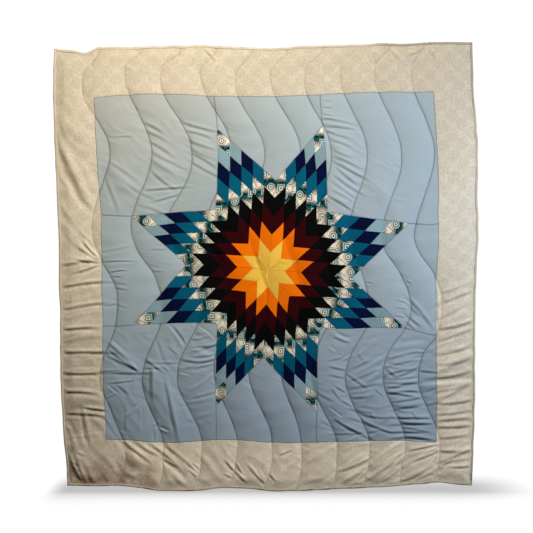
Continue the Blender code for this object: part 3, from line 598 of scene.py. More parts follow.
def gathers(channel, width, up):
    """Small puckers that the stitches draw up on both sides of a line, and that die away from it."""
    line = np.rint(channel)
    distance = np.abs(channel - line) * width
    side = np.where(channel < line, -1.0, 1.0)
    place = np.stack([up + 0.35 * side * distance, 3.0 * line + side], axis=1)
    strength = eased(0.35 + 0.8 * uneven(place, 0.30, 5))
    fading = (1.0 - np.exp(-distance / STITCH_PINCH)) * np.exp(-distance / GATHER_REACH)
    return GATHER_RISE * strength * fading * uneven(place, GATHER_SPACING, 6)


def loft(flat):
    """How full the filling is at each point, from 0 at the stitches to 1 halfway between two lines."""
    channel, width = channel_of(flat)
    share = channel % 1.0
    swell = 1.0 - np.abs(1.0 - 2.0 * share) ** CROWN_POWER
    inward = np.minimum(EDGE_RIGHT - np.abs(flat[:, 0]), EDGE_TOP - np.abs(flat[:, 1])) - BINDING_WIDTH
    fullness = EDGE_LOFT_SHARE + (1.0 - EDGE_LOFT_SHARE) * eased(inward / EDGE_SOFTENING)
    return swell * fullness, channel, width, inward


def face_depth(flat, hung, seam_distance, seam_sink=SEAM_SINK, groove=GROOVE_DEPTH, creased=1.0):
    """The face of the quilt, as the wall sees it: everything that stands towards the viewer is negative."""
    swell, channel, width, inward = loft(flat)
    from_line = np.minimum(channel % 1.0, 1.0 - channel % 1.0) * width
    rise = STITCHED_HALF + FRONT_LOFT * swell
    rise += gathers(channel, width, flat[:, 1])
    pinned = eased(from_line / PINNED_REACH)
    sharp = CREASE_LIMIT * np.tanh(creased * (creases(hung) + ripples(hung)) / CREASE_LIMIT)
    free = PINNED_CREASE_SHARE + (1.0 - PINNED_CREASE_SHARE) * pinned
    rise += sharp * free * eased(inward / EDGE_CREASE_REACH)
    rise += CLOTH_RISE * uneven(flat, CLOTH_SPACING, 7) * pinned
    rise -= groove * np.exp(-((from_line / GROOVE_REACH) ** 2))
    rise -= seam_sink * np.exp(-seam_distance / SEAM_REACH)
    rise -= EDGE_TUCK * np.exp(-np.maximum(inward, 0.0) / TUCK_REACH)
    return middle_layer(hung) - np.maximum(rise, THINNEST_FACE)


class Wire:
    """One output of a material's nodes. Python's operators on it add Math nodes."""

    def __init__(self, tree, socket=None):
        self.tree = tree
        self.socket = socket

    def node(self, kind, settings=None, inputs=None, output=0):
        made = self.tree.nodes.new("ShaderNode" + kind)
        for name, value in (settings or {}).items():
            if name == "stops":
                ramp = made.color_ramp
                for place, colour in value[1:-1]:
                    ramp.elements.new(place).color = (*colour, 1.0)
                for end in (0, -1):
                    ramp.elements[end].position = value[end][0]
                    ramp.elements[end].color = (*value[end][1], 1.0)
            else:
                setattr(made, name, value)
        for name, value in (inputs or {}).items():
            if isinstance(value, Wire):
                self.tree.links.new(value.socket, made.inputs[name])
            else:
                made.inputs[name].default_value = value
        return Wire(self.tree, made.outputs[output])

    def math(self, operation, *values):
        return self.node("Math", {"operation": operation}, dict(enumerate(values)))

    def mix(self, share, first, second):
        first, second = [(*side, 1.0) if isinstance(side, tuple) else side for side in (first, second)]
        return self.node("Mix", {"data_type": "RGBA"}, {0: share, 6: first, 7: second}, output=2)

    def noise(self, grain, scale, detail):
        """Cloudy noise in the flat of the cloth."""
        inputs = {"Vector": grain, "Scale": scale, "Detail": detail}
        return self.node("TexNoise", {"noise_dimensions": "2D"}, inputs)

    def shaded(self, shade):
        """This colour made darker or lighter."""
        return self.node("VectorMath", {"operation": "SCALE"}, {0: self, "Scale": shade})

    def clipped(self):
        return self.math("MINIMUM", self.math("MAXIMUM", self, 0.0), 1.0)

    def fade(self, start, end):
        """1 at start and below, 0 at end and above."""
        inputs = {"Value": self, "From Min": start, "From Max": end, "To Min": 1.0, "To Max": 0.0}
        return self.node("MapRange", {"interpolation_type": "SMOOTHSTEP"}, inputs)

    def axes(self):
        return [self.node("SeparateXYZ", None, {0: self}, output=axis) for axis in (0, 1, 2)]

    def __add__(self, other):
        return self.math("ADD", self, other)

    def __radd__(self, other):
        return self.math("ADD", other, self)

    def __sub__(self, other):
        return self.math("SUBTRACT", self, other)

    def __rsub__(self, other):
        return self.math("SUBTRACT", other, self)

    def __mul__(self, other):
        return self.math("MULTIPLY", self, other)

    def __rmul__(self, other):
        return self.math("MULTIPLY", other, self)

    def __truediv__(self, other):
        return self.math("DIVIDE", self, other)

    def __mod__(self, other):
        return self.math("FLOORED_MODULO", self, other)

    def __abs__(self):
        return self.math("ABSOLUTE", self)

    def __lt__(self, other):
        return self.math("LESS_THAN", self, other)

    def __gt__(self, other):
        return self.math("GREATER_THAN", self, other)


def cotton(name, roughness, sheen=0.0, specular=0.12):
    """A matt cotton: the material, its shader and the place to start its nodes from."""
    material = bpy.data.materials.new(name)
    material.use_nodes = True
    shader = material.node_tree.nodes["Principled BSDF"]
    shader.inputs["Roughness"].default_value = roughness
    shader.inputs["Specular IOR Level"].default_value = specular
    shader.inputs["Sheen Weight"].default_value = sheen
    shader.inputs["Sheen Roughness"].default_value = 0.45
    return material, shader, Wire(material.node_tree)


THREAD_PITCH = 0.0007
STITCH_PITCH = 0.0034
CHANNEL_WIDTH = 0.163
NEAR_SHARE = 0.14
STITCH_SHARE = 0.50


def finish_cotton(start, shader, colour, line_shade, seam_shade, seam_reach=0.0022, weave=0.16):
    """Weave, stitched lines and sewn seams over a cloth colour, with painted shade in the quilting grooves
    and along the seams.
    """
    grain = start.node("UVMap", {"uv_map": "grain"})
    along, aside, _ = grain.axes()
    quilting = start.node("UVMap", {"uv_map": "quilting"})
    channel, up, _ = quilting.axes()
    seam = start.node("Attribute", {"attribute_name": "seam_distance"}, output="Fac")

    weft = start.math("SINE", along * (2.0 * math.pi / THREAD_PITCH))
    warp = start.math("SINE", aside * (2.0 * math.pi / THREAD_PITCH))
    threads = weft * warp
    slubs = start.node("Mapping", None, {"Vector": grain, "Scale": (40.0, 700.0, 1.0)})
    slub = start.noise(slubs, 1.0, 2.0)
    fuzz = start.noise(grain, 260.0, 4.0)

    share = channel % 1.0
    from_line = start.math("MINIMUM", share, 1.0 - share) * CHANNEL_WIDTH
    # Painted shade: darker in and beside the groove of each quilting line, and along each sewn seam.
    painted_groove_shade = from_line.fade(0.0006, 0.0036) * line_shade
    near = from_line.fade(0.0, 0.014) * (line_shade * NEAR_SHARE)
    stitch = (from_line < 0.0005) * ((up / STITCH_PITCH) % 1.0 < 0.72) * (line_shade * STITCH_SHARE)
    painted_seam_shade = seam.fade(0.0003, seam_reach) * seam_shade

    painted_shade_and_thread = (1.0 - painted_groove_shade) * (1.0 - near) * (1.0 - painted_seam_shade) * (1.0 - stitch)
    shade = painted_shade_and_thread * (0.93 + slub * 0.08 + fuzz * 0.06)
    start.tree.links.new(colour.shaded(shade).socket, shader.inputs["Base Color"])

    height = threads * 0.30 + fuzz * 0.70 + slub * 0.40
    bump = start.node("Bump", None, {"Strength": weave, "Distance": 0.0006, "Height": height})
    start.tree.links.new(bump.socket, shader.inputs["Normal"])


# The dyes of the rings, from the centre out. The fifth ring and the tips are cut from a printed cotton.
RING_DYES = (
    ("yellow", (0.92, 0.57, 0.080)),
    ("orange", (0.96, 0.185, 0.001)),
    ("maroon", (0.029, 0.0008, 0.0026)),
    ("black", (0.0012, 0.0018, 0.0018)),
    ("print", (0.70, 0.64, 0.52)),
    ("teal", (0.0006, 0.100, 0.190)),
    ("navy", (0.0008, 0.0045, 0.036)),
    ("pale_blue", (0.235, 0.365, 0.430)),
    ("print", (0.70, 0.64, 0.52)),
)
DYE_UNEVENNESS = 0.09
PRINT_REPEAT = 0.086
MOTIF_CELL = 0.058
PALE_BANDS = ((0.0066, 0.0022), (0.0152, 0.0013))
INK_BANDS = ((0.0112, 0.0024), (0.0186, 0.0012))
INK_CENTRE = 0.0040
CHEVRON_PLACE = 0.0400
CHEVRON_HALF = 0.0018
CHEVRON_CLEAR = 0.0200
GRID_IN_DIAMOND = 13
SEAM_CLUSTER = 0.62


def printed_cotton(start):
    """Cream that shades through taupe to black and back, under rows of nested squares and rings."""
    grain = start.node("UVMap", {"uv_map": "grain"})
    along, aside, _ = grain.axes()
    cloud = start.noise(grain, 45.0, 2.0)
    tone = (along / PRINT_REPEAT + cloud * 0.12) % 1.0
    ground = start.node("ValToRGB", {"stops": (
        (0.00, (0.86, 0.80, 0.66)),
        (0.30, (0.84, 0.77, 0.63)),
        (0.46, (0.30, 0.25, 0.21)),
        (0.58, (0.008, 0.010, 0.012)),
        (0.70, (0.002, 0.034, 0.042)),
        (0.80, (0.005, 0.008, 0.010)),
        (0.90, (0.200, 0.190, 0.175)),
        (1.00, (0.86, 0.80, 0.66)),
    )}, {"Fac": tone})
    column = start.math("FLOOR", along / MOTIF_CELL)
    stagger = aside / MOTIF_CELL + column * 0.5
    right = abs((along / MOTIF_CELL) % 1.0 - 0.5) * MOTIF_CELL
    raised = abs(stagger % 1.0 - 0.5) * MOTIF_CELL
    square = start.math("MAXIMUM", right, raised)
    round_out = start.math("SQRT", right * right + raised * raised)
    turn = (column + start.math("FLOOR", stagger)) % 2.0
    out = turn * square + (1.0 - turn) * round_out
    inner_pale, outer_pale = [abs(out - middle) < half for middle, half in PALE_BANDS]
    inner_ink, outer_ink = [abs(out - middle) < half for middle, half in INK_BANDS]
    pale = inner_pale + outer_pale
    inked = (out < INK_CENTRE) + inner_ink + outer_ink
    chevron = (abs(right + raised - CHEVRON_PLACE) < CHEVRON_HALF) * (out > CHEVRON_CLEAR)
    light = start.node("RGBToBW", None, {0: ground})
    ink = start.mix(light.fade(0.04, 0.40), (0.004, 0.085, 0.100), (0.006, 0.240, 0.270))
    drawn = start.mix(start.math("MINIMUM", pale, 1.0) * 0.85, ground, (0.82, 0.78, 0.68))
    return start.mix(start.math("MINIMUM", inked + chevron, 1.0) * 0.85, drawn, ink)


def patchwork():
    """Every diamond's dye comes from the cloth itself, and the printed ones take the print."""
    material, shader, start = cotton("star_patchwork", 0.86, specular=0.06)
    dye = start.node("Attribute", {"attribute_name": "dye"}, output="Color")
    printed = start.node("Attribute", {"attribute_name": "printed"}, output="Fac")
    colour = start.mix(printed, dye, printed_cotton(start))
    finish_cotton(start, shader, colour, 0.05, 0.10)
    return material


def vertex_of_corner(mesh):
    corners = np.zeros(len(mesh.loops), dtype=np.int64)
    mesh.loops.foreach_get("vertex_index", corners)
    return corners


def cloth_piece(name, sheet, material, **layers):
    """A sheet of cloth with two sides, and with its own coordinates as layers on its mesh."""
    mesh = bpy.data.meshes.new(name)
    sheet.to_mesh(mesh)
    sheet.free()
    corners = vertex_of_corner(mesh)
    for layer, values in layers.items():
        mesh.uv_layers.new(name=layer).data.foreach_set("uv", values[corners].ravel())
    mesh.shade_smooth()
    mesh.materials.append(material)
    piece = bpy.data.objects.new(name, mesh)
    bpy.context.scene.collection.objects.link(piece)
    sides = piece.modifiers.new("two_sides", "SOLIDIFY")
    sides.thickness = CLOTH_THICKNESS
    sides.offset = -1.0
    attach(piece, "root")
    return piece


def sew_piece(name, sheet, flat, seam_distance, material, depth_of=face_depth, back=False, **seams):
    """Hangs a flat cut, gives it its relief and makes it cloth."""
    hung = hang(flat)
    depth = depth_of(flat, hung, seam_distance, **seams)
    for vertex, (across, up), y in zip(sheet.verts, hung, depth):
        vertex.co = (across, y, up)
    if back:
        bmesh.ops.reverse_faces(sheet, faces=sheet.faces[:])
    channel, _ = channel_of(flat)
    quilting = np.stack([channel, flat[:, 1]], axis=1)
    piece = cloth_piece(name, sheet, material, grain=flat, quilting=quilting)
    from_seam = piece.data.attributes.new("seam_distance", "FLOAT", "POINT")
    from_seam.data.foreach_set("value", seam_distance)
    return piece


def seam_ease(count):
    """Grid lines across one diamond, drawn together towards its two seams."""
    step = np.arange(count + 1) / count
    return step - SEAM_CLUSTER * np.sin(2.0 * math.pi * step) / (2.0 * math.pi)


star_cotton = patchwork()
for index, (point, *_) in enumerate(POINT_PULLS):
    name = "star_point_" + point
    segments = STRIPS_IN_POINT * GRID_IN_DIAMOND
    sheet = bmesh.new()
    bmesh.ops.create_grid(sheet, x_segments=segments, y_segments=segments, size=1.0)
    spots = np.array([vertex.co[:2] for vertex in sheet.verts])
    steps = np.rint((spots + 1.0) / 2.0 * segments).astype(int)
    within = seam_ease(GRID_IN_DIAMOND)
    place = (steps // GRID_IN_DIAMOND + within[steps % GRID_IN_DIAMOND]) / STRIPS_IN_POINT
    nearest = np.abs(place * STRIPS_IN_POINT - np.rint(place * STRIPS_IN_POINT)).min(axis=1)
    inset = 1.0 - SEAM_GAP / (STRIP_HEIGHT * STRIPS_IN_POINT)
    sides = (place - 0.5) * inset + 0.5
    run = POINT_SIDE * np.array([polar(1.0, 45 * index), polar(1.0, 45 * index + 45)])
    from_seam = nearest * STRIP_HEIGHT
    star_relief = {"seam_sink": STAR_SEAM_SINK, "groove": STAR_GROOVE, "creased": 0.8}
    piece = sew_piece("sewn_" + name, sheet, sides @ run, from_seam, star_cotton, **star_relief)

    mesh = piece.data
    corners = vertex_of_corner(mesh)
    patch = np.floor(place[corners].reshape(-1, 4, 2).mean(axis=1) * STRIPS_IN_POINT).astype(int)
    ring = patch.sum(axis=1)
    draw = np.random.default_rng(400 + index)
    lightness = 1.0 + draw.uniform(-DYE_UNEVENNESS, DYE_UNEVENNESS, (STRIPS_IN_POINT, STRIPS_IN_POINT))
    dyes = np.array([colour for _, colour in RING_DYES])[ring]
    dyes = dyes * lightness[patch[:, 0], patch[:, 1]][:, None]
    dyes = np.repeat(np.hstack([dyes, np.ones((len(dyes), 1))]), 4, axis=0)
    mesh.attributes.new("dye", "FLOAT_COLOR", "CORNER").data.foreach_set("color", dyes.ravel())
    is_print = np.array([dye == "print" for dye, _ in RING_DYES], dtype=float)[ring]
    mesh.attributes.new("printed", "FLOAT", "CORNER").data.foreach_set("value", np.repeat(is_print, 4))
    shifts = draw.uniform(0.0, 5.0 * PRINT_REPEAT, (STRIPS_IN_POINT, STRIPS_IN_POINT, 2))
    flat_sides = POINT_SIDE * np.array([polar(1.0, 0), polar(1.0, 45)])
    grain = place[corners] @ flat_sides
    if index % 2:
        grain = grain @ np.array([polar(1.0, -45), polar(1.0, 45)])
    grain += np.repeat(shifts[patch[:, 0], patch[:, 1]], 4, axis=0)
    mesh.uv_layers["grain"].data.foreach_set("uv", grain.ravel())

    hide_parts(name)


# The blue field. Four squares fill the corners between the star's points and four triangles fill the
# sides, all of one plain cotton, cut with straight edges and set into the star by hand.
FIELD_BLUE = (0.385, 0.478, 0.545)
FIELD_WARM_LIT = (0.420, 0.452, 0.455)
FIELD_PAINTED_LOW_SHADE = (0.315, 0.408, 0.515)
ROW_STEP = 0.0036
COLUMNS_IN_CHANNEL = 36
LINE_CLUSTER = 0.35
SEAM_INSETS = (0.0016, 0.0044)
SIDE_SAMPLES = 60


def cut_sheet(corners, row_step=ROW_STEP, columns_in_channel=COLUMNS_IN_CHANNEL, gap=SEAM_GAP / 2):
    """Cloth cut to straight sides. Its mesh runs in level rows, and in columns that follow the quilting."""
    outline = np.array(corners)
    low, high = outline[:, 1].min() - row_step, outline[:, 1].max() + row_step
    ups = np.linspace(low, high, SIDE_SAMPLES)
    level = np.full(SIDE_SAMPLES, 1.0)
    reach = [channel_of(np.stack([level * side, ups], axis=1))[0] for side in outline[:, 0]]
    first, last = math.floor(np.min(reach)), math.ceil(np.max(reach))
    rows = math.ceil((high - low) / row_step)
    columns = (last - first) * columns_in_channel
    sheet = bmesh.new()
    bmesh.ops.create_grid(sheet, x_segments=columns, y_segments=rows, size=1.0)
    share = (np.array([vertex.co[:2] for vertex in sheet.verts]) + 1.0) / 2.0
    step = np.rint(share[:, 0] * columns) / columns_in_channel
    whole = np.minimum(np.floor(step), last - first - 1).astype(int)
    within = step - whole
    within -= LINE_CLUSTER * np.sin(2.0 * math.pi * within) / (2.0 * math.pi)
    up = low + share[:, 1] * (high - low)
    lines = quilting_places(up)
    row = np.arange(len(up))
    left, right = lines[row, first + whole], lines[row, first + whole + 1]
    for vertex, across, raised in zip(sheet.verts, left + within * (right - left), up):
        vertex.co = (across, 0.0, raised)
    outwards = []
    for start, end in zip(corners, corners[1:] + corners[:1]):
        length = math.dist(start, end)
        outwards.append(((end[1] - start[1]) / length, -(end[0] - start[0]) / length))
    for inset in (gap, *SEAM_INSETS):
        for start, outward in zip(corners, outwards):
            bmesh.ops.bisect_plane(
                sheet,
                geom=sheet.verts[:] + sheet.edges[:] + sheet.faces[:],
                dist=1e-6,
                plane_co=(start[0] - outward[0] * inset, 0.0, start[1] - outward[1] * inset),
                plane_no=(outward[0], 0.0, outward[1]),
                clear_outer=inset == gap,
            )
    flat = np.array([(vertex.co.x, vertex.co.z) for vertex in sheet.verts])
    seams = [(np.array(start) - flat) @ np.array(outward) for start, outward in zip(corners, outwards)]
    return sheet, flat, np.min(seams, axis=0)


def field_cotton():
    material, shader, start = cotton("blue_field", 0.82, sheen=0.04)
    place = start.node("TexCoord", output="Object")
    right, _, up = place.axes()
    cloud = start.node("TexNoise", None, {"Vector": place, "Scale": 2.2, "Detail": 2.0})
    # Painted warm light: the blue turns warmer and greyer towards the upper left.
    painted_warm_light = right.fade(-0.75, 0.45) * (1.0 - up.fade(-1.05, -0.20))
    colour = start.mix(painted_warm_light, FIELD_BLUE, FIELD_WARM_LIT)
    # Painted shade: the blue darkens towards the bottom.
    colour = start.mix(up.fade(-1.65, -1.00), colour, FIELD_PAINTED_LOW_SHADE)
    finish_cotton(start, shader, colour.shaded(1.0 - cloud * 0.06), 0.46, 0.36, seam_reach=0.0050)
    return material


blue_cotton = field_cotton()
inner_corner = POINT_SIDE * math.cos(math.radians(45))
corner_square = [
    (inner_corner, inner_corner),
    (HALF_FIELD, inner_corner),
    (HALF_FIELD, HALF_FIELD),
    (inner_corner, HALF_FIELD),
]
side_triangle = [
    (POINT_SIDE, 0.0),
    (TIP_OUT, -TIP_OFFSET),
    (HALF_FIELD, -TIP_OFFSET),
    (HALF_FIELD, TIP_OFFSET),
    (TIP_OUT, TIP_OFFSET),
]
square_side = HALF_FIELD - inner_corner
triangle_height = HALF_FIELD - POINT_SIDE
triangle_area = TIP_OFFSET * (2.0 * HALF_FIELD - TIP_OUT - POINT_SIDE)
square_places = ("top_right", "top_left", "bottom_left", "bottom_right")
square_size = (square_side, square_side)
triangle_places = ("right", "top", "left", "bottom")
triangle_size = (triangle_height, 2 * TIP_OFFSET)
for kind, places, outline, flat_size, area in (
    ("corner_square", square_places, corner_square, square_size, None),
    ("side_triangle", triangle_places, side_triangle, triangle_size, triangle_area),
):
    for index, place in enumerate(places):
        name = kind + "_" + place
        sheet, flat, seam_distance = cut_sheet(turned(90 * index, outline))
        piece = sew_piece("sewn_" + name, sheet, flat, seam_distance, blue_cotton)
        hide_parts(name)


# The border. Two long side strips and two shorter end strips of a cream cotton, with a faint print of
# dotted rings in its own colour, sewn to the field's edges.
BORDER_CREAM = (0.735, 0.668, 0.552)
BORDER_PRINT = (0.575, 0.500, 0.385)
BORDER_FOLD_SHADE = (0.430, 0.300, 0.225)
RING_CELL = 0.083
RING_RADII = (0.0090, 0.0170, 0.0245)
RING_DOTS = (7, 13, 19)
DOT_RADIUS = 0.0028
MEDALLION_REACH = 0.0280
DOT_INK = 0.34
GROUND_INK = 0.17
BORDER_SEAM_SINK = 0.00015
BORDER_GROOVE = 0.0005


def medallion(start, along, aside, shift):
    """Three rings of dots round a centre dot on a barely darker ground, on a square lattice."""
    right = ((along / RING_CELL + shift) % 1.0 - 0.5) * RING_CELL
    raised = ((aside / RING_CELL + shift) % 1.0 - 0.5) * RING_CELL
    out = start.math("SQRT", right * right + raised * raised)
    turn = start.math("ARCTAN2", raised, right) / (2.0 * math.pi)
    dots = out.fade(0.0020, 0.0045)
    for radius, count in zip(RING_RADII, RING_DOTS):
        round_ring = ((turn * float(count)) % 1.0 - 0.5) * (2.0 * math.pi * radius / count)
        off_ring = out - radius
        distance = start.math("SQRT", round_ring * round_ring + off_ring * off_ring)
        dots = start.math("MAXIMUM", dots, distance.fade(DOT_RADIUS * 0.6, DOT_RADIUS * 1.4))
    return dots * DOT_INK + out.fade(MEDALLION_REACH * 0.80, MEDALLION_REACH) * GROUND_INK


def border_cotton():
    """A second medallion lies in the middle of every four, and fine flecks fill the ground."""
    material, shader, start = cotton("cream_border", 0.86, sheen=0.04)
    grain = start.node("UVMap", {"uv_map": "grain"})
    along, aside, _ = grain.axes()
    place = start.node("TexCoord", output="Object")
    cloud = start.node("TexNoise", None, {"Vector": place, "Scale": 9.0, "Detail": 4.0, "Roughness": 0.65})
    coarse = start.noise(grain, 95.0, 1.0)
    fine = start.noise(grain, 210.0, 1.0)
    worn = (cloud * 2.2 - 0.7).clipped()
    ground = start.mix(worn * 0.55, BORDER_CREAM, tuple(0.86 * part for part in BORDER_CREAM))
    printed = medallion(start, along, aside, 0.0) + medallion(start, along, aside, 0.5)
    colour = start.mix(start.math("MINIMUM", printed, 1.0), ground, BORDER_PRINT)
    right, _, up = place.axes()
    # Painted shade of soft folds: broken darker brown patches in the left part of the bottom border.
    low_left = right.fade(-0.54, -0.44) * up.fade(-1.92, -1.80)
    painted_fold_shade = (cloud * 5.0 - 1.9).clipped()
    colour = start.mix(low_left * painted_fold_shade, colour, BORDER_FOLD_SHADE)
    # Painted light and shade: darker towards the top, lighter near the bottom and darker in the lower left.
    # The flecks are the cloth's own.
    shade = 1.0 - (1.0 - up.fade(-0.80, -0.10)) * 0.14 + up.fade(-1.76, -1.66) * 0.16
    shade = shade * (1.0 - right.fade(-0.80, -0.55) * up.fade(-1.70, -1.10) * 0.20)
    flecks_and_painted_light = (0.70 + coarse * 0.30 + fine * 0.30) * shade
    finish_cotton(start, shader, colour.shaded(flecks_and_painted_light), 0.15, 0.05)
    return material


cream_cotton = border_cotton()
side_border = [
    (HALF_FIELD, -BORDER_TOP),
    (BORDER_RIGHT, -BORDER_TOP),
    (BORDER_RIGHT, BORDER_TOP),
    (HALF_FIELD, BORDER_TOP),
]
end_border = [
    (-HALF_FIELD, HALF_FIELD),
    (HALF_FIELD, HALF_FIELD),
    (HALF_FIELD, BORDER_TOP),
    (-HALF_FIELD, BORDER_TOP),
]
for place, degrees, outline, creased, flat_size in (
    ("right", 0, side_border, 1.2, (BORDER_RIGHT - HALF_FIELD, 2 * BORDER_TOP)),
    ("top", 0, end_border, 1.7, (2 * HALF_FIELD, BORDER_TOP - HALF_FIELD)),
    ("left", 180, side_border, 1.7, (BORDER_RIGHT - HALF_FIELD, 2 * BORDER_TOP)),
    ("bottom", 180, end_border, 1.3, (2 * HALF_FIELD, BORDER_TOP - HALF_FIELD)),
):
    name = "border_" + place
    sheet, flat, seam_distance = cut_sheet(turned(degrees, outline))
    border_relief = {"seam_sink": BORDER_SEAM_SINK, "groove": BORDER_GROOVE, "creased": creased}
    piece = sew_piece("sewn_" + name, sheet, flat, seam_distance, cream_cotton, **border_relief)
    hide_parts(name)


# The backing. One plain cream cotton sheet closes the back, and the quilting draws it in as it does the
# face, a little less because it lies towards the wall.
BACKING_CREAM = (0.600, 0.560, 0.470)
BACKING_ROW_STEP = 0.0190
BACKING_COLUMNS_IN_CHANNEL = 12
BACK_SHARE = 0.7
BACK_GROOVE_SHARE = 0.6
THINNEST_BACK = 0.0012


def back_depth(flat, hung, seam_distance):
    swell, channel, width, inward = loft(flat)
    from_line = np.minimum(channel % 1.0, 1.0 - channel % 1.0) * width
    rise = STITCHED_HALF + BACK_LOFT * swell + BACK_SHARE * gathers(channel, width, flat[:, 1])
    rise += CLOTH_RISE * uneven(flat, CLOTH_SPACING, 8) * eased(from_line / PINNED_REACH)
    rise -= GROOVE_DEPTH * BACK_GROOVE_SHARE * np.exp(-((from_line / GROOVE_REACH) ** 2))
    rise -= EDGE_TUCK * np.exp(-np.maximum(inward, 0.0) / TUCK_REACH)
    return middle_layer(hung) + np.maximum(rise, THINNEST_BACK)


def backing_cotton():
    material, shader, start = cotton("backing_cotton", 0.84, sheen=0.05)
    place = start.node("TexCoord", output="Object")
    cloud = start.node("TexNoise", None, {"Vector": place, "Scale": 2.6, "Detail": 2.0})
    colour = start.mix(cloud, BACKING_CREAM, tuple(0.94 * part for part in BACKING_CREAM))
    finish_cotton(start, shader, colour, 0.40, 0.10)
    return material


backing_outline = [
    (-BORDER_RIGHT, -BORDER_TOP),
    (BORDER_RIGHT, -BORDER_TOP),
    (BORDER_RIGHT, BORDER_TOP),
    (-BORDER_RIGHT, BORDER_TOP),
]
sheet, flat, seam_distance = cut_sheet(backing_outline, BACKING_ROW_STEP, BACKING_COLUMNS_IN_CHANNEL)
backing = sew_piece("sewn_backing", sheet, flat, seam_distance, backing_cotton(), back_depth, back=True)


# The binding. A narrow strip folded over the edge of the layers and stitched down near its inner side,
# a little browner than the border, and mitred at the corners.
BINDING_BROWN = (0.420, 0.375, 0.290)
BINDING_PALE = (0.680, 0.610, 0.480)
BINDING_SPECKS_AND_SHADE = (0.230, 0.120, 0.070)
BINDING_THREAD = (0.460, 0.410, 0.320)
BINDING_STEP = 0.0075
BINDING_STITCHING = 0.0082
BINDING_PROFILE = (
    # place, distance in from the edge, depth behind the middle of the layers
    ("front_lip", 0.0100, -0.0025),
    ("front_stitching", BINDING_STITCHING, -0.0027),
    ("front_crown", 0.0052, -0.0034),
    ("front_shoulder", 0.0022, -0.0031),
    ("front_turn", 0.0005, -0.0017),
    ("fold", 0.0000, 0.0000),
    ("back_turn", 0.0005, 0.0018),
    ("back_shoulder", 0.0022, 0.0033),
    ("back_crown", 0.0052, 0.0037),
    ("back_stitching", BINDING_STITCHING, 0.0030),
    ("back_lip", 0.0100, 0.0028),
)
BINDING_PUCKER = 0.0006
BINDING_PUCKER_SPACING = 0.014


def binding_cotton():
    material, shader, start = cotton("binding", 0.86, sheen=0.05)
    place = start.node("TexCoord", output="Object")
    grain = start.node("UVMap", {"uv_map": "grain"})
    along, aside, _ = grain.axes()
    right, _, up = place.axes()
    cloud = start.node("TexNoise", None, {"Vector": place, "Scale": 11.0, "Detail": 4.0})
    threads = start.node("TexNoise", None, {"Vector": place, "Scale": 110.0, "Detail": 3.0})
    upper_right = (1.0 - right.fade(0.42, 0.56)) * (1.0 - up.fade(-0.34, -0.22))
    lower_right = (1.0 - right.fade(0.80, 0.90)) * 0.45
    worn = start.math("MAXIMUM", cloud * 1.6 - 0.72, start.math("MAXIMUM", upper_right, lower_right))
    worn = (worn + threads * 0.7 - 0.30).clipped()
    colour = start.mix(worn, BINDING_PALE, BINDING_BROWN)
    # Red-brown specks and painted shade: the turn and back of the binding, and the underside of the bottom
    # edge, darken in broken patches.
    patchy_noise = start.node("TexNoise", None, {"Vector": place, "Scale": 23.0, "Detail": 2.0})
    low_edge = aside.fade(0.0042, 0.0068) * up.fade(-1.92, -1.84)
    specks_and_underside_shade = start.math("MAXIMUM", aside.fade(0.0006, 0.0030), low_edge)
    specks_and_underside_shade = specks_and_underside_shade * (1.0 - patchy_noise.fade(0.50, 0.64)) * 0.85
    colour = start.mix(specks_and_underside_shade, colour, BINDING_SPECKS_AND_SHADE)
    stitch = (abs(aside - BINDING_STITCHING) < 0.0005) * ((along / STITCH_PITCH) % 1.0 < 0.7)
    sewn = start.mix(stitch, colour, BINDING_THREAD)
    start.tree.links.new(sewn.socket, shader.inputs["Base Color"])
    bump = start.node("Bump", None, {"Strength": 0.3, "Distance": 0.0008, "Height": threads})
    start.tree.links.new(bump.socket, shader.inputs["Normal"])
    return material


binding_cloth = binding_cotton()
profile = np.array([row[1:] for row in BINDING_PROFILE])
for number, (place, degrees, half, half_across) in enumerate((
    ("right", -90, EDGE_TOP, EDGE_RIGHT),
    ("top", 0, EDGE_RIGHT, EDGE_TOP),
    ("left", 90, EDGE_TOP, EDGE_RIGHT),
    ("bottom", 180, EDGE_RIGHT, EDGE_TOP),
)):
    name = "binding_" + place
    segments = math.ceil(2 * half / BINDING_STEP)
    sheet = bmesh.new()
    bmesh.ops.create_grid(sheet, x_segments=segments, y_segments=len(profile) - 1, size=1.0)
    spot = np.array([vertex.co[:2] for vertex in sheet.verts])
    level = np.rint((spot[:, 1] + 1.0) / 2.0 * (len(profile) - 1)).astype(int)
    inward, offset = profile[level].T
    along = spot[:, 0] * (half - inward)
    flat = np.array(turned(degrees, np.stack([along, half_across - inward], axis=1)))
    hung = hang(flat)
    strip = np.full(len(along), float(number))
    pucker = uneven(np.stack([along, strip], axis=1), BINDING_PUCKER_SPACING, 9)
    rolled = offset * (1.0 + 0.12 * uneven(flat, 0.05, 10)) - BINDING_PUCKER * pucker * (offset < 0)
    for vertex, (across, up), y in zip(sheet.verts, hung, middle_layer(hung) + rolled):
        vertex.co = (across, y, up)
    bmesh.ops.recalc_face_normals(sheet, faces=sheet.faces[:])
    grain = np.stack([along, inward * np.where(offset < 0, 1.0, -1.0)], axis=1)
    piece = cloth_piece("sewn_" + name, sheet, binding_cloth, grain=grain)
    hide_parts(name)


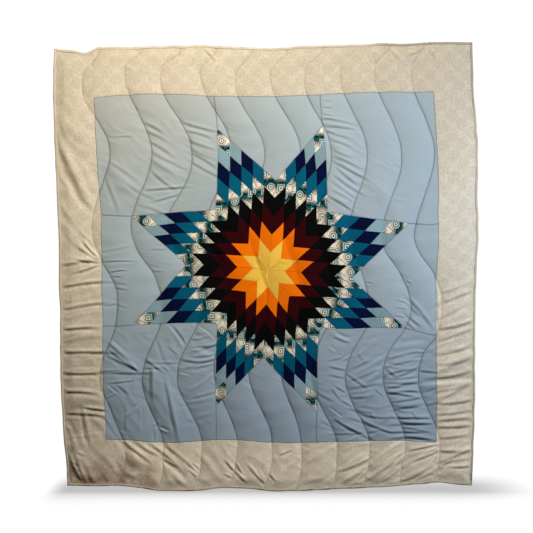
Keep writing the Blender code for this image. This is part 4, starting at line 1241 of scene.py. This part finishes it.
# The tacks. Four small domed brass tacks go through the top binding and hold the quilt up.
def tack_brass():
    material = bpy.data.materials.new("brass")
    material.use_nodes = True
    shader = material.node_tree.nodes["Principled BSDF"]
    shader.inputs["Metallic"].default_value = 1.0
    start = Wire(material.node_tree)
    place = start.node("TexCoord", output="Object")
    patchy_noise = start.node("TexNoise", None, {"Vector": place, "Scale": 420.0, "Detail": 3.0})
    colour = start.mix(patchy_noise, (0.86, 0.68, 0.32), (0.72, 0.50, 0.18))
    start.tree.links.new(colour.socket, shader.inputs["Base Color"])
    start.tree.links.new((patchy_noise * 0.2 + 0.22).socket, shader.inputs["Roughness"])
    return material


brass = tack_brass()
for name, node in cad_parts.items():
    if name.startswith("tack_"):
        node.data.materials.clear()
        node.data.materials.append(brass)


# The studio. A plain white backdrop, a warm light high in front, a cool one from the right, a low sun
# that rakes the folds, and one light for the back. The floor throws back little light: it is seen
# pale by its own glow, which fades under the quilt as a soft shade.
FLOOR_DROP = 0.004
FLOOR_REACH = 40.0
FLOOR_PAINT = 0.06
FLOOR_GLOW_NEAR = 0.50
FLOOR_GLOW_FAR = 1.00
FLOOR_SHADE_REACH = 0.96
FLOOR_SHADE_DEPTH = 0.14
AMBIENT = 0.05
BACKDROP = 1.05
CAMERA_DISTANCE = 5.66
CAMERA_LENS = 85.0

floor_sheet = bmesh.new()
bmesh.ops.create_circle(floor_sheet, cap_ends=True, segments=64, radius=FLOOR_REACH)
for vertex in floor_sheet.verts:
    vertex.co.z = cad_low.z - FLOOR_DROP
floor_mesh = bpy.data.meshes.new("floor")
floor_sheet.to_mesh(floor_mesh)
floor_sheet.free()
floor = bpy.data.objects.new("floor", floor_mesh)
bpy.context.scene.collection.objects.link(floor)
floor_paint = bpy.data.materials.new("floor")
floor_paint.use_nodes = True
floor_shader = floor_paint.node_tree.nodes["Principled BSDF"]
floor_shader.inputs["Base Color"].default_value = (FLOOR_PAINT, FLOOR_PAINT, FLOOR_PAINT, 1.0)
floor_shader.inputs["Roughness"].default_value = 0.9
floor_shader.inputs["Specular IOR Level"].default_value = 0.0
floor_shader.inputs["Emission Color"].default_value = (1.0, 1.0, 1.0, 1.0)
floor_start = Wire(floor_paint.node_tree)
floor_seen = floor_start.node("LightPath", output="Is Camera Ray")
floor_across, floor_behind, _ = floor_start.node("TexCoord", output="Object").axes()
in_front = floor_start.math("MINIMUM", floor_behind, 0.0)
under_quilt = floor_start.math("EXPONENT", in_front / FLOOR_SHADE_DEPTH) * floor_behind.fade(0.10, 0.60)
under_quilt = under_quilt * floor_across.fade(FLOOR_SHADE_REACH - 0.05, FLOOR_SHADE_REACH + 0.35)
under_quilt = under_quilt * (0.0 - floor_across).fade(FLOOR_SHADE_REACH - 0.06, FLOOR_SHADE_REACH + 0.06)
floor_glow = FLOOR_GLOW_FAR - under_quilt * (FLOOR_GLOW_FAR - FLOOR_GLOW_NEAR)
floor_paint.node_tree.links.new((floor_seen * floor_glow).socket, floor_shader.inputs["Emission Strength"])
floor_mesh.materials.append(floor_paint)

world = bpy.data.worlds.new("studio")
world.use_nodes = True
bpy.context.scene.world = world
sky = Wire(world.node_tree)
seen = sky.node("LightPath", output="Is Camera Ray")
backdrop = world.node_tree.nodes["Background"]
backdrop.inputs["Color"].default_value = (1.0, 1.0, 1.0, 1.0)
world.node_tree.links.new((seen * (BACKDROP - AMBIENT) + AMBIENT).socket, backdrop.inputs["Strength"])


def area_light(name, place, aim, size, watts, colour):
    lamp = bpy.data.lights.new(name, "AREA")
    lamp.shape = "RECTANGLE"
    lamp.size, lamp.size_y = size
    lamp.energy = watts
    lamp.color = colour
    light = bpy.data.objects.new(name, lamp)
    light.location = place
    light.rotation_euler = (Vector(aim) - Vector(place)).to_track_quat("-Z", "Y").to_euler()
    bpy.context.scene.collection.objects.link(light)


area_light("high_light", (-0.40, -1.62, 0.60), (-0.15, 0.0, -0.60), (0.4, 0.4), 37.5, (1.00, 0.885, 0.70))
area_light("window_light", (1.7, -1.0, -0.6), (0.3, 0.0, -0.9), (0.4, 0.4), 13.5, (0.60, 0.77, 1.00))
area_light("back_light", (1.6, 2.6, 0.5), (0.0, 0.0, -1.0), (1.2, 1.2), 110.0, (1.00, 0.97, 0.92))

sun_lamp = bpy.data.lights.new("low_sun", "SUN")
sun_lamp.energy = 1.4
sun_lamp.color = (1.00, 0.93, 0.84)
sun_lamp.angle = math.radians(5)
sun = bpy.data.objects.new("low_sun", sun_lamp)
sun.rotation_euler = Vector((-0.78, 0.42, -0.46)).to_track_quat("-Z", "Y").to_euler()
bpy.context.scene.collection.objects.link(sun)

camera_data = bpy.data.cameras.new("camera")
camera_data.lens = CAMERA_LENS
camera = bpy.data.objects.new("camera", camera_data)
camera.location = (0.002, -CAMERA_DISTANCE, -0.981)
camera.rotation_euler = (math.radians(90), 0.0, 0.0)
bpy.context.scene.collection.objects.link(camera)
bpy.context.scene.camera = camera
bpy.context.scene.view_settings.view_transform = "Standard"
